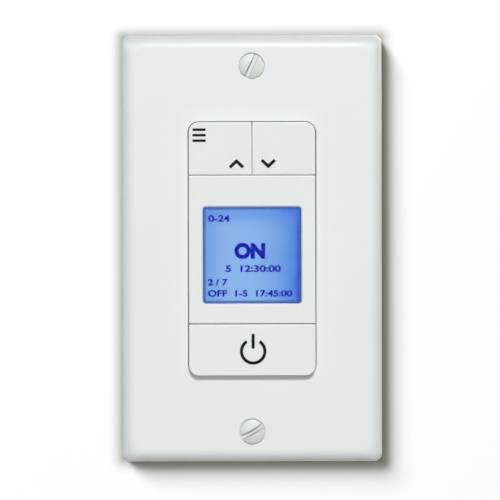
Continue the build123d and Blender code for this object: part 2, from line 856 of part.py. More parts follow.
def display_flex():
    """Flat cable from the glass ledge, over the tray's top edge and back down to the logic board."""
    start_y = front_glass_back_y - flex_thickness / 2
    run_z = rear_glass_top_z + tray_top_gap + flex_thickness
    end_y = logic_front_y - flex_thickness / 2
    path = FilletPolyline(
        (start_y, rear_glass_top_z - flex_lap), (start_y, run_z), (end_y, run_z), (end_y, run_z + flex_tail),
        radius=flex_bend,
    )
    ribbon = Plane.YZ * trace(path, flex_thickness)
    return extrude(ribbon, flex_width / 2, both=True)


# Logic board

def board(width, height, front_y):
    """Circuit board with rounded corners and the header's pin holes."""
    plate = slab(width, height, front_y, front_y + board_thickness, board_corner)
    for x in pin_places():
        plate -= rod_y(pin_hole_radius, front_y - overrun, front_y + board_thickness + overrun, x, header_z)
    return plate


def pin_places():
    """X of the header's pins."""
    return [(i - (header_pin_count - 1) / 2) * pin_spacing for i in range(header_pin_count)]


def logic_board():
    """Board behind the deck, with holes for the stakes."""
    plate = board(logic_board_width, logic_board_height, logic_front_y)
    for x, z in standoff_places():
        plate -= rod_y(stake_radius + running_gap, logic_front_y - overrun, logic_back_y + overrun, x, z)
    return plate


def board_header():
    """Insulator that spaces the two boards and guides the pins."""
    body = block(
        -header_pin_count * pin_spacing / 2, header_pin_count * pin_spacing / 2, logic_back_y, power_front_y,
        header_z - header_width / 2, header_z + header_width / 2,
    )
    for x in pin_places():
        body -= slab(
            pin_side + 2 * running_gap, pin_side + 2 * running_gap,
            logic_back_y - overrun, power_front_y + overrun, x=x, z=header_z,
        )
    return body


def header_pin_set():
    """Square pins through both boards."""
    return group([
        slab(pin_side, pin_side, logic_front_y - pin_proud, power_back_y + pin_proud, x=x, z=header_z)
        for x in pin_places()
    ])


def microcontroller():
    """Square chip on the logic board's back."""
    body = slab(chip_side, chip_side, logic_back_y, logic_back_y + chip_height, z=chip_z)
    return chamfer(body.faces().sort_by(Axis.Y)[-1].edges(), chip_edge)


def crystal():
    """Oblong metal can of the clock crystal."""
    return slab(
        crystal_length, crystal_width, logic_back_y, logic_back_y + crystal_height,
        crystal_width / 2 - chip_edge, z=crystal_z,
    )


def backup_cell():
    """Coin cell that keeps the clock running."""
    front = logic_back_y + clip_thickness
    cell = rod_y(cell_radius, front, front + cell_height, cell_x, cell_z)
    return chamfer(cell.edges().sort_by(Axis.Y)[-1], clip_thickness)


def cell_clip():
    """Sprung strip that holds the coin cell, with a contact plate under it and two feet."""
    inside = cell_radius + clip_gap
    half = inside + clip_thickness
    foot_back = logic_back_y + clip_thickness
    top = foot_back + cell_height + clip_gap
    strip = slab(2 * half, clip_width, logic_back_y, top + clip_thickness, x=cell_x, z=cell_z)
    strip -= slab(2 * inside, clip_width + overrun, foot_back, top, x=cell_x, z=cell_z)
    return strip + slab(2 * (half + clip_foot), clip_width, logic_back_y, foot_back, x=cell_x, z=cell_z)


# Power board and what stands on it

def power_board():
    """Board with notched corners and slots for the lugs' tabs."""
    plate = board(power_board_width, power_board_height, power_front_y)
    for sx in (-1, 1):
        for sz in (-1, 1):
            plate -= slab(
                2 * board_notch, 2 * board_notch_height, power_front_y - overrun, power_back_y + overrun,
                x=sx * power_board_width / 2, z=sz * power_board_height / 2,
            )
            plate -= slab(
                lug_thickness + 2 * tab_gap, tab_width + 2 * tab_gap, power_front_y - overrun,
                power_back_y + overrun, x=sx * (lug_inner_x + lug_outer_x) / 2, z=sz * terminal_z,
            )
    return plate


def film_capacitor():
    """Boxed interference capacitor with rounded edges."""
    body = slab(
        film_cap_width, film_cap_height, power_back_y, power_back_y + film_cap_depth, chip_edge, z=film_cap_z
    )
    return chamfer(body.faces().sort_by(Axis.Y)[-1].edges(), chip_edge)


def electrolytic_capacitor():
    """Round can with a rolled groove near its foot."""
    top = power_back_y + round_cap_height
    can = rod_y(round_cap_radius, power_back_y, top, round_cap_x, round_cap_z)
    groove_y = power_back_y + round_cap_groove_height
    ring = Torus(round_cap_radius, round_cap_groove)
    can -= Pos(round_cap_x, groove_y, round_cap_z) * Rot(90, 0, 0) * ring
    return fillet(can.edges().sort_by(Axis.Y)[-1], round_cap_groove)


def varistor():
    """Coated disc on two leads that go through the board."""
    centre_y = power_back_y + disc_stand + disc_radius
    disc = rod_z(disc_radius, disc_z - disc_thickness / 2, disc_z + disc_thickness / 2, disc_x, centre_y)
    disc = fillet(disc.edges().filter_by(GeomType.CIRCLE), disc_edge_round)
    for x in (disc_x - lead_spread, disc_x + lead_spread):
        disc += rod_y(lead_radius, power_back_y, centre_y, x, disc_z)
    return disc


def fuse():
    """Round board fuse."""
    body = rod_y(fuse_radius, power_back_y, power_back_y + fuse_height, fuse_x, fuse_z)
    return fillet(body.edges().sort_by(Axis.Y)[-1], chip_edge)


def choke():
    """Ferrite drum of the supply's choke."""
    top = power_back_y + choke_height
    drum = rod_y(choke_core_radius, power_back_y, top, choke_x, choke_z)
    drum += rod_y(choke_flange_radius, power_back_y, power_back_y + choke_flange_thickness, choke_x, choke_z)
    return drum + rod_y(choke_flange_radius, top - choke_flange_thickness, top, choke_x, choke_z)


def choke_winding():
    """Wire on the drum, wound nearly out to its flanges."""
    low = power_back_y + choke_flange_thickness
    high = power_back_y + choke_height - choke_flange_thickness
    coil = rod_y(choke_winding_radius, low, high, choke_x, choke_z)
    return coil - rod_y(choke_core_radius, low - overrun, high + overrun, choke_x, choke_z)


def rectifier():
    """Bridge rectifier on the power board."""
    body = slab(
        rectifier_width, rectifier_height, power_back_y, power_back_y + rectifier_depth,
        x=rectifier_x, z=rectifier_z,
    )
    return chamfer(body.faces().sort_by(Axis.Y)[-1].edges(), chip_edge)


# Relay

relay_top_z = relay_z + relay_height / 2 - relay_wall
relay_bottom_z = relay_z - relay_height / 2 + relay_wall
base_back_y = power_back_y + relay_base_thickness
yoke_front_y = base_back_y + yoke_stand
yoke_back_y = yoke_front_y + yoke_thickness
coil_y = yoke_back_y + coil_stand + coil_flange_radius
yoke_foot_z = relay_bottom_z + relay_inner_gap
coil_start_z = yoke_foot_z + yoke_thickness + running_gap
armature_z = relay_top_z - relay_inner_gap - leaf_thickness - yoke_thickness
coil_end_z = armature_z - armature_gap - core_tip
armature_pivot_y = yoke_back_y


def relay_case():
    """Cover of the relay, open towards the board."""
    case = slab(relay_width, relay_height, power_back_y, power_back_y + relay_depth, relay_wall, z=relay_z)
    return case - slab(
        relay_width - 2 * relay_wall, relay_height - 2 * relay_wall, power_back_y - overrun,
        power_back_y + relay_depth - relay_wall, z=relay_z,
    )


def relay_base():
    """Plate that closes the relay's cover."""
    fit = 2 * (relay_wall + relay_fit)
    return slab(relay_width - fit, relay_height - fit, power_back_y, base_back_y, z=relay_z)


def relay_yoke():
    """Iron frame: foot, side plate with a seat for the armature's pin, and the core through the coil."""
    x0 = yoke_x - yoke_width / 2
    x1 = yoke_x + yoke_width / 2
    plate = block(x0, x1, yoke_front_y, yoke_back_y, yoke_foot_z, armature_z)
    foot = block(x0, x1, yoke_front_y, coil_y + yoke_foot_rise, yoke_foot_z, yoke_foot_z + yoke_thickness)
    stand = block(x0, x1, base_back_y, yoke_front_y, yoke_foot_z, yoke_foot_z + yoke_thickness)
    core = rod_z(core_radius, yoke_foot_z, armature_z - armature_gap, yoke_x, coil_y)
    seat = rod_x(armature_pin_radius + running_gap, x0 - overrun, x1 + overrun, armature_pivot_y, armature_z)
    return plate + foot + stand + core - seat


def relay_coil():
    """Flanged bobbin filled with wire, on the core."""
    coil = rod_z(coil_radius, coil_start_z, coil_end_z, yoke_x, coil_y)
    for z0 in (coil_start_z, coil_end_z - coil_flange_thickness):
        coil += rod_z(coil_flange_radius, z0, z0 + coil_flange_thickness, yoke_x, coil_y)
    bore = core_radius + running_gap
    return coil - rod_z(bore, coil_start_z - overrun, coil_end_z + overrun, yoke_x, coil_y)


def relay_armature():
    """Iron flap on its pin, with the spring leaf that carries the moving contact."""
    x0 = yoke_x - yoke_width / 2
    x1 = yoke_x + yoke_width / 2
    pivot = rod_x(armature_pin_radius, x0, x1, armature_pivot_y, armature_z)
    low = armature_pivot_y + armature_pin_radius / 2
    flap = block(x0, x1, low, armature_pivot_y + armature_rise, armature_z, armature_z + yoke_thickness)
    leaf_z = armature_z + yoke_thickness
    leaf = block(
        x0, leaf_x + leaf_width / 2, armature_pivot_y + armature_rise - leaf_lap,
        armature_pivot_y + leaf_top, leaf_z, leaf_z + leaf_thickness,
    )
    tip_y = armature_pivot_y + leaf_top - leaf_width / 2
    rivet = rod_z(contact_radius, leaf_z - contact_height, leaf_z, leaf_x, tip_y)
    return pivot + flap + leaf + rivet


def relay_contact():
    """Fixed contact on its upright strip, facing the moving one."""
    tip_y = armature_pivot_y + leaf_top - leaf_width / 2
    face_z = armature_z + yoke_thickness - contact_height - contact_gap
    strip_z = face_z - contact_height
    strip = block(
        leaf_x - leaf_width / 2, leaf_x + leaf_width / 2, base_back_y, armature_pivot_y + leaf_top,
        strip_z - contact_strip, strip_z,
    )
    return strip + rod_z(contact_radius, strip_z, face_z, leaf_x, tip_y)


# Wire clamps: each is drawn on the right side at z = 0, then placed by its side and height

terminals = {
    "line": (-1, 1),
    "neutral": (-1, -1),
    "load": (1, 1),
    "traveller": (1, -1),
}


def at_terminal(shape, name):
    """The shape moved from the right side's middle to one of the four terminals."""
    side, level = terminals[name]
    if side < 0:
        shape = mirror(shape, Plane.YZ)
    return Pos(0, 0, level * terminal_z) * shape


def terminal_lug():
    """Brass lug: screw plate in the pocket and a tab through the power board."""
    plate = block(
        lug_inner_x, lug_outer_x, terminal_y - lug_length / 2, terminal_y + lug_length / 2,
        -lug_half_height, lug_half_height,
    )
    tab = block(
        lug_inner_x, lug_outer_x, power_front_y - tab_proud, terminal_y, -tab_width / 2, tab_width / 2
    )
    radius = terminal_screw_radius + loose_gap
    return plate + tab - rod_x(radius, lug_inner_x - overrun, lug_outer_x + overrun, terminal_y, 0)


def clamp_plate():
    """Threaded plate with two wire grooves that the screw draws towards the lug."""
    inner = clamp_outer_x - clamp_thickness
    y0 = terminal_y - clamp_length / 2
    y1 = terminal_y + clamp_length / 2
    plate = block(inner, clamp_outer_x, y0, y1, -clamp_half_height, clamp_half_height)
    for z in (-wire_offset, wire_offset):
        plate -= rod_y(clamp_groove, y0 - overrun, y1 + overrun, clamp_outer_x, z)
    hole = terminal_screw_radius + running_gap
    return plate - rod_x(hole, inner - overrun, clamp_outer_x + overrun, terminal_y, 0)


def terminal_screw():
    """Slotted screw whose head stays on the lug while the clamp plate travels on its thread."""
    seat = lug_outer_x + terminal_head_gap
    head = rod_x(terminal_head_radius, seat, seat + terminal_head_height, terminal_y, 0)
    head = chamfer(head.edges().sort_by(Axis.X)[-1], terminal_head_chamfer)
    top = seat + terminal_head_height
    head -= block(
        top - screw_slot_depth, top + overrun, terminal_y - terminal_head_radius,
        terminal_y + terminal_head_radius, -screw_slot_width / 2, screw_slot_width / 2,
    )
    shank = rod_x(terminal_screw_radius, pocket_floor_x + terminal_screw_end, seat, terminal_y, 0)
    return head + shank


# Rear housing and its screws

def terminal_block():
    """Solid block inside the housing's right side that a terminal's pocket is cut into."""
    half = pocket_half_height + pocket_wall
    return block(
        block_inner_x, housing_side - housing_wall / 2, power_back_y,
        housing_depth - housing_wall / 2, -half, half,
    )


def terminal_pocket():
    """Pocket open to the side, the slot for the lug's tab and two wire holes from the back."""
    pocket = block(
        pocket_floor_x, housing_side + overrun, pocket_start_y, pocket_end_y,
        -pocket_half_height, pocket_half_height,
    )
    pocket += block(
        lug_inner_x - tab_gap, lug_outer_x + tab_gap, power_back_y - overrun, pocket_start_y,
        -tab_width / 2 - tab_gap, tab_width / 2 + tab_gap,
    )
    for z in (-wire_offset, wire_offset):
        pocket += rod_y(wire_hole_radius, pocket_end_y, housing_depth + overrun, lug_inner_x - wire_inset, z)
    return pocket


def rear_housing():
    """Moulded tub with four screw tubes and four terminal pockets."""
    tub = slab(housing_width, housing_height, 0, housing_depth, housing_corner)
    tub = fillet(tub.faces().sort_by(Axis.Y)[-1].edges(), housing_back_round)
    inside = slab(
        housing_width - 2 * housing_wall, housing_height - 2 * housing_wall, -overrun,
        housing_depth - housing_wall, housing_corner - housing_wall,
    )
    inserts = Part() + [at_terminal(terminal_block(), name) for name in terminals]
    tube_end_y = housing_depth - housing_wall / 2
    inserts += [rod_y(tube_radius, tube_start_y, tube_end_y, x, z) for x, z in corners()]
    tub = tub - (inside - inserts)
    for name in terminals:
        tub -= at_terminal(terminal_pocket(), name)
    for x, z in corners():
        tub -= rod_y(tube_bore, tube_start_y + tube_floor, housing_depth + overrun, x, z)
        tub -= rod_y(case_screw_radius + loose_gap, tube_start_y - overrun, housing_depth, x, z)
    hole = ground_screw_radius + 2 * loose_gap
    return tub - rod_x(hole, -housing_side - overrun, overrun - housing_side, ground_screw_y, ground_z)


def housing_screws():
    """Four screws from the back through the housing's tubes into the bezel's bosses."""
    pieces = []
    seat = tube_start_y + tube_floor
    for x, z in corners():
        head = rod_y(case_screw_head, seat, seat + case_screw_head_height, x, z)
        for width, height in ((cross_width, cross_length), (cross_length, cross_width)):
            head -= slab(
                width, height, seat + case_screw_head_height - cross_depth,
                seat + case_screw_head_height + overrun, x=x, z=z,
            )
        pieces.append(head + rod_y(case_screw_radius, seat - case_screw_length, seat, x, z))
    return group(pieces)


left_edge = -face_width / 2
right_edge = face_width / 2
nodes = {
    "wall_plate": wall_plate(),
    "plate_screws": plate_screws(),
    "mounting_strap": mounting_strap(),
    "box_screws": box_screws(),
    "screw_retainers": screw_retainers(),
    "ground_screw": ground_screw(),
    "front_bezel": front_bezel(),
    "menu_up_key": rocker_key(left_edge, -key_seam / 2, [switch_places["menu"], switch_places["up"]]),
    "down_key": rocker_key(key_seam / 2, right_edge, [switch_places["down"]]),
    "power_key": power_key(),
    "switch_bases": group([switch_base(x, z) for x, z in switch_places.values()]),
    "display_window": display_window(),
    "front_polariser": glass_sheet(lens_back_y + film_gap, polariser_thickness, front_glass_top_z),
    "lcd_front_glass": glass_sheet(polariser_back_y, glass_thickness, front_glass_top_z),
    "lcd_rear_glass": glass_sheet(front_glass_back_y, glass_thickness, rear_glass_top_z),
    "rear_polariser": glass_sheet(rear_glass_back_y, polariser_thickness, front_glass_top_z),
    "diffuser_sheet": glass_sheet(rear_film_back_y, diffuser_thickness, front_glass_top_z),
    "light_guide": glass_sheet(diffuser_back_y, guide_thickness, front_glass_top_z),
    "driver_chip": driver_chip(),
    "backlight_leds": backlight_leds(),
    "display_tray": display_tray(),
    "display_flex": display_flex(),
    "logic_board": logic_board(),
    "microcontroller": microcontroller(),
    "crystal": crystal(),
    "backup_cell": backup_cell(),
    "cell_clip": cell_clip(),
    "board_header": board_header(),
    "header_pins": header_pin_set(),
    "power_board": power_board(),
    "film_capacitor": film_capacitor(),
    "electrolytic_capacitor": electrolytic_capacitor(),
    "varistor": varistor(),
    "fuse": fuse(),
    "choke": choke(),
    "choke_winding": choke_winding(),
    "rectifier": rectifier(),
    "relay_case": relay_case(),
    "relay_base": relay_base(),
    "relay_yoke": relay_yoke(),
    "relay_coil": relay_coil(),
    "relay_armature": relay_armature(),
    "relay_contact": relay_contact(),
    "terminal_lugs": group([at_terminal(terminal_lug(), name) for name in terminals]),
    "rear_housing": rear_housing(),
    "housing_screws": housing_screws(),
}
for name, (x, z) in switch_places.items():
    nodes[name + "_plunger"] = plunger(x, z)
for name in terminals:
    nodes[name + "_clamp"] = at_terminal(clamp_plate(), name)
    nodes[name + "_screw"] = at_terminal(terminal_screw(), name)

os.makedirs("parts", exist_ok=True)
for name, shape in nodes.items():
    export_step(shape, f"parts/{name}.step")
print(len(nodes), "nodes; rocker axis", pivot_y, key_axis_z, "lever", key_lever)
print("relay pivot", armature_pivot_y, armature_z, "terminal axis", terminal_y, terminal_z)
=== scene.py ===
# %% [markdown]
# # The looks of a timer light switch
# The real object is a white wall plate with a timer set into it: three white keys, a small backlit
# display, and a dark housing behind the wall. Its solids come from the CAD model, each in its real
# place, in metres, with the face looking along -Y. This lesson gives them their finishes, prints the
# signs on the keys, lights up the display and cuts real threads on the screws.

# %% Load the frame
import json
import math

import bpy
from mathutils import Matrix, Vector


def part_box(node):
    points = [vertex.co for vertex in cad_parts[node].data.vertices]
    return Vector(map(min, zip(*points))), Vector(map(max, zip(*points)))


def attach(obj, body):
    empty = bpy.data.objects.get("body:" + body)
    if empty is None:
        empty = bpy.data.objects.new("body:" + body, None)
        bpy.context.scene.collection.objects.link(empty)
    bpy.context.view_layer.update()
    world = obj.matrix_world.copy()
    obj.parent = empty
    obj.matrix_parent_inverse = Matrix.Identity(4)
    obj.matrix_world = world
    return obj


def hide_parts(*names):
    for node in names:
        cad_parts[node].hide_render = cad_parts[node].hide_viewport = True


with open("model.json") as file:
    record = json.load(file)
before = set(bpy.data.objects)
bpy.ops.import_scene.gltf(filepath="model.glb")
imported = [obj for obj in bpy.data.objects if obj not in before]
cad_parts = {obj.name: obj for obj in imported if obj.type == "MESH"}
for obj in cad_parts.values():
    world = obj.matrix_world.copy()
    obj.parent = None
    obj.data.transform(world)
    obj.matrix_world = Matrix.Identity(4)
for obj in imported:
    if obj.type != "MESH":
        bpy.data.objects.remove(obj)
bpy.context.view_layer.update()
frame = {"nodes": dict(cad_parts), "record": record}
MM = 0.001

# %% [markdown]
# ## Writing a finish as sums
# Every finish is a small tree of nodes. Placing dozens of nodes by hand is slow, so two small classes
# do it. A Value is one output of a node, and arithmetic on it adds Math nodes. A Finish holds the
# tree, adds any other node, and ends in the shader. All patterns read Object coordinates: the
# objects sit at the origin, so a pattern has its real size in metres and stays with its piece.

# %% Values
class Value:
    """One output of a node in a finish."""

    def __init__(self, finish, socket):
        self.finish = finish
        self.socket = socket

    def __add__(self, other):
        return self.finish.maths("ADD", self, other)

    def __sub__(self, other):
        return self.finish.maths("SUBTRACT", self, other)

    def __rsub__(self, other):
        return self.finish.maths("SUBTRACT", other, self)

    def __mul__(self, other):
        return self.finish.maths("MULTIPLY", self, other)

    def __truediv__(self, other):
        return self.finish.maths("DIVIDE", self, other)

    def __pow__(self, other):
        return self.finish.maths("POWER", self, other)

    __radd__ = __add__
    __rmul__ = __mul__


print("sums can be written now")


# %% Finishes
class Finish:
    """A material or a world made of nodes. Sizes and depths are in metres."""

    def __init__(self, name, kind=bpy.data.materials):
        self.owner = kind.new(name)
        self.owner.use_nodes = True
        self.tree = self.owner.node_tree
        self.tree.nodes.clear()

    def feed(self, socket, value):
        """Links a Value to a socket, or writes a plain number or colour into it."""
        if isinstance(value, Value):
            self.tree.links.new(value.socket, socket)
        else:
            socket.default_value = value

    def node(self, kind, settings=None, values=None, output=0):
        """Adds a node: its settings first, then the values or links of its inputs."""
        node = self.tree.nodes.new(kind)
        for key, value in (settings or {}).items():
            if key == "stops":
                ramp = node.color_ramp.elements
                while len(ramp) < len(value):
                    ramp.new(0.5)
                for stop, (place, colour) in zip(ramp, value):
                    stop.position = place
                    stop.color = (*colour, 1)
            else:
                setattr(node, key, value)
        for key, value in (values or {}).items():
            self.feed(node.inputs[key], value)
        return Value(self, node.outputs[output])

    def maths(self, operation, *values):
        settings = {"operation": operation}
        return self.node("ShaderNodeMath", settings, dict(enumerate(values)))

    def clamped(self, value):
        """The value held between 0 and 1."""
        return self.node("ShaderNodeClamp", None, {"Value": value})

    def place(self):
        """The point on the piece."""
        return self.node("ShaderNodeTexCoord", output="Object")

    def axis(self, letter):
        """The point's X, Y or Z."""
        return self.node("ShaderNodeSeparateXYZ", None, {0: self.place()}, "XYZ".index(letter))

    def outside(self, half_width, half_height, radius=0.0, up="Z"):
        """Distance from a rectangle with round corners round the origin, measured outwards."""
        steps = [
            self.maths("MAXIMUM", self.maths("ABSOLUTE", self.axis(letter)) - (half - radius), 0.0)
            for letter, half in (("X", half_width), (up, half_height))
        ]
        return self.maths("SQRT", steps[0] ** 2 + steps[1] ** 2) - radius

    def clouds(self, size, detail=2, stretch=(1, 1, 1)):
        """Soft random pattern from 0 to 1, whose blots are about size across."""
        place = self.node("ShaderNodeMapping", None, {"Vector": self.place(), "Scale": stretch})
        noise = {"Vector": place, "Scale": 1 / size, "Detail": detail}
        return self.node("ShaderNodeTexNoise", None, noise)

    def between(self, share, low, high):
        """Colour between two colours, by a share from 0 to 1."""
        factor, first, second, result = 0, 6, 7, 2      # the Mix node's sockets for colours
        colours = {
            factor: share,
            first: low if isinstance(low, Value) else (*low, 1),
            second: high if isinstance(high, Value) else (*high, 1),
        }
        return self.node("ShaderNodeMix", {"data_type": "RGBA"}, colours, result)

    def bump(self, height, depth):
        """Normal for a relief whose height of 0 to 1 stands for a depth."""
        relief = {"Strength": 1.0, "Distance": depth, "Height": height}
        return self.node("ShaderNodeBump", None, relief)

    def surface(self, **values):
        """Ends the tree in the shader. Underscores in the names stand for spaces."""
        inputs = {name.replace("_", " "): value for name, value in values.items()}
        return self.end(self.node("ShaderNodeBsdfPrincipled", None, inputs))

    def end(self, shader, kind="ShaderNodeOutputMaterial"):
        """Links a shader to the tree's output, and gives back the material or the world."""
        output = self.tree.nodes.new(kind)
        self.tree.links.new(shader.socket, output.inputs["Surface"])
        return self.owner


def shade(colour, factor):
    """A colour made darker or lighter."""
    return tuple(min(1.0, part * factor) for part in colour)


print("finishes can be written now")

# %% [markdown]
# ## Moulded plastics
# The plate and the keys are glossy white plastic, the housing is a darker one with a spark-eroded
# grain. A single colour would look like paper, because real mouldings have faint flow marks, a skin
# that isn't quite flat and a gloss that varies. So each plastic mixes two close colours by slow
# clouds, varies its roughness by them, and gets a fine relief for its grain. White plastic also lets
# some light in, which softens its shades.
#
# Two things are drawn by their place on the piece. The seams between the keys are so narrow that
# they would render almost black, while real white plastic carries light into them, so the face gets
# a painted glow inside them. And the plate gets painted shade: darker on its sloping rim, most on
# top, and dark in the gap round the timer. Masks made from sums of the coordinates say where.

# %% Plastics
def plastic(
    name, colour, rough, grain=0.0008, depth=0.000003, flow=0.02, gloss_change=0.06,
    glow=None, overlay=None, **more
):
    """Moulded plastic. The two functions draw by place a painted glow as a colour and a painted shade
    as a share.
    """
    finish = Finish(name)
    # painted glow: emission by place, on a face that is no lamp
    if glow:
        more |= {"Emission_Color": glow(finish), "Emission_Strength": 1.0}
    slow = finish.clouds(0.018, 3)
    skin = finish.clouds(grain, 2)
    tone = finish.between(slow, shade(colour, 1 - flow), shade(colour, 1 + flow))
    # painted shade: the tone is mixed by place towards a copy at a fifth of its brightness
    if overlay:
        painted_shade_colour = shade(colour, 0.2)
        tone = finish.between(overlay(finish), tone, painted_shade_colour)
    return finish.surface(
        **more,
        Base_Color=tone,
        Roughness=slow * gloss_change + (rough - gloss_change / 2),
        Normal=finish.bump(skin, depth),
        IOR=1.49,
    )


print("plastics can be mixed now")

# %% Painted glow and painted shade by place
FACE_CORNER = 2.6 * MM
key_low, key_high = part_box("menu_up_key")
plate_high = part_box("wall_plate")[1]


def from_face(finish):
    """Distance from the timer face's outline, below zero inside it."""
    return finish.outside(-key_low.x, key_high.z, FACE_CORNER)


def painted_seam_glow(finish):
    """Painted glow for the light carried into the seams: none on the face and its flanks, more with
    the depth.
    """
    seam_top, full_depth = 0.1 * MM, 1.0 * MM
    flank, fade = 0.3 * MM, 0.1 * MM
    half_change = 15 * MM
    depth = finish.clamped((finish.axis("Y") - key_low.y - seam_top) / full_depth)
    inside = finish.clamped((from_face(finish) + flank) / -fade)
    height = finish.clamped((finish.axis("Z") + half_change) / (2 * half_change))
    glow = finish.between(height, (0.069, 0.074, 0.072), (0.132, 0.143, 0.140))
    return finish.between(depth * inside, (0.0, 0.0, 0.0), glow)


def rim_painted_shade(finish):
    """Painted shade: darker on the plate's sloping rim, most on top, and dark in the gap round the
    timer.
    """
    slope = 3.9 * MM
    gap, fade = 0.45 * MM, 0.1 * MM
    change = 8 * MM         # the painted shade in the gap deepens where X + Z goes from this to twice this
    side = finish.clamped((finish.maths("ABSOLUTE", finish.axis("X")) - plate_high.x + slope) / slope)
    top = finish.clamped((finish.axis("Z") - plate_high.z + slope) / slope)
    # painted shade: the sloping rim darker, most on top, and the gap round the timer dark, most at
    # the upper right
    film = finish.maths("MAXIMUM", side * 0.12, top * 0.5)
    in_gap = finish.clamped((gap - from_face(finish)) / fade)
    upper_right = finish.clamped((finish.axis("X") + finish.axis("Z") - change) / change)
    return finish.maths("MAXIMUM", film, in_gap * (upper_right * 0.5 + 0.35))


print("timer face", round(-2 * key_low.x / MM, 2), "by", round(2 * key_high.z / MM, 2), "mm")

# %% The plastics
milky = {
    "Subsurface_Weight": 0.7, "Subsurface_Radius": (1.0, 1.0, 1.0), "Subsurface_Scale": 0.0007,
}
finishes = {
    "plate_white": plastic(
        "plate_white", (0.69, 0.73, 0.715), 0.33, 0.0016, 0.000004, 0.012,
        overlay=rim_painted_shade, Specular_IOR_Level=0.2, **milky
    ),
    "face_white": plastic(
        "face_white", (0.665, 0.70, 0.685), 0.34, 0.0009, 0.000003, 0.012, glow=painted_seam_glow, **milky
    ),
    "tray_white": plastic("tray_white", (0.84, 0.84, 0.81), 0.5),
    "switch_black": plastic("switch_black", (0.03, 0.03, 0.033), 0.45),
    "plunger_grey": plastic("plunger_grey", (0.22, 0.22, 0.23), 0.5),
    "housing_grey": plastic(
        "housing_grey", (0.055, 0.058, 0.062), 0.58, 0.00035, 0.00003, 0.08, 0.14
    ),
    "relay_black": plastic("relay_black", (0.022, 0.023, 0.026), 0.32, 0.0005, 0.000006, 0.06),
    "chip_black": plastic("chip_black", (0.018, 0.018, 0.02), 0.6, 0.0003, 0.00001, 0.1),
    "guide": plastic("guide", (0.62, 0.72, 0.86), 0.1, 0.002, 0.000001),
    "diffuser": plastic("diffuser", (0.8, 0.84, 0.88), 0.7, 0.0004, 0.000005),
    "film": plastic("film", (0.16, 0.2, 0.28), 0.15, 0.003, 0.000001),
    "can_sleeve": plastic("can_sleeve", (0.02, 0.03, 0.06), 0.35, 0.002, 0.00002, 0.12),
    "disc_blue": plastic("disc_blue", (0.03, 0.10, 0.32), 0.38, 0.0012, 0.00002, 0.12),
    "cap_yellow": plastic("cap_yellow", (0.75, 0.50, 0.06), 0.42, 0.0009, 0.000008, 0.06),
    "fuse_brown": plastic("fuse_brown", (0.10, 0.035, 0.018), 0.4, 0.0012, 0.000008, 0.1),
    "ferrite": plastic("ferrite", (0.035, 0.035, 0.037), 0.7, 0.0003, 0.00004, 0.2),
}
print(len(finishes), "plastics")

# %% [markdown]
# ## Metals
# The strap is zinc-plated steel, whose plating is a little grainy and dull. Brass lugs and clamps
# are drawn, so they carry fine scratches along one direction. The grain of the plating comes from a
# fine Voronoi pattern, the scratches from noise stretched along one axis, and both change the
# roughness more than the colour, as on real metal.

# %% Metals
def metal(name, colour, rough, stretch=(1, 1, 1), scratch=0.0004, depth=0.000004, tarnish=0.15):
    """Metal with slow stains, and scratches that run along the axis stretched least."""
    finish = Finish(name)
    lines = finish.clouds(scratch, 3, stretch)
    stain = finish.clouds(0.006, 4)
    return finish.surface(
        Base_Color=finish.between(stain, shade(colour, 1 - tarnish), shade(colour, 1 + tarnish / 3)),
        Metallic=1.0,
        Roughness=lines * 0.16 + stain * 0.1 + (rough - 0.13),
        Normal=finish.bump(lines, depth),
    )


def zinc(name, colour, rough):
    """Zinc plating, grainy and a little dull."""
    finish = Finish(name)
    flakes_per_metre = 1500.0
    flakes = finish.node(
        "ShaderNodeTexVoronoi", {"feature": "F1"},
        {"Vector": finish.place(), "Scale": flakes_per_metre, "Randomness": 1.0}, "Color",
    )
    tone = finish.node("ShaderNodeSeparateColor", None, {0: flakes})
    overlay = finish.clouds(0.0005, 3)
    return finish.surface(
        Base_Color=finish.between(tone, shade(colour, 0.95), shade(colour, 1.03)),
        Metallic=1.0,
        Roughness=tone * 0.06 + overlay * 0.12 + (rough - 0.09),
        Normal=finish.bump(overlay, 0.000003),
    )


finishes |= {
    "zinc_steel": zinc("zinc_steel", (0.60, 0.61, 0.61), 0.42),
    "case_screw": metal("case_screw", (0.50, 0.51, 0.52), 0.38),
    "relay_iron": metal("relay_iron", (0.55, 0.54, 0.52), 0.34, (1, 1, 0.1)),
    "can_metal": metal("can_metal", (0.68, 0.68, 0.67), 0.28, (0.1, 1, 1)),
    "cell_metal": metal("cell_metal", (0.70, 0.70, 0.69), 0.25, (1, 1, 0.2)),
    "contact_metal": metal("contact_metal", (0.80, 0.78, 0.74), 0.3),
    "pin_brass": metal("pin_brass", (0.80, 0.66, 0.36), 0.32, (1, 0.1, 1)),
    "lug_brass": metal("lug_brass", (0.72, 0.53, 0.25), 0.34, (1, 0.12, 1), 0.0005, 0.000005, 0.22),
}
print(len(finishes), "finishes with the metals")

# %% [markdown]
# ## Painted and coloured metal, fibre and glass
# The plate screws are steel with baked white paint, with painted shade along both edges of the slot,
# so each of them gets a paint that knows its slot's place and angle. The ground screw is dyed green.
# The retainers are pressed fibre with threads of darker pulp. The window is clear plastic, so it
# transmits light instead of being coloured.

# %% Paint, fibre and glass
SCREW_PAINT = (0.60, 0.65, 0.61)


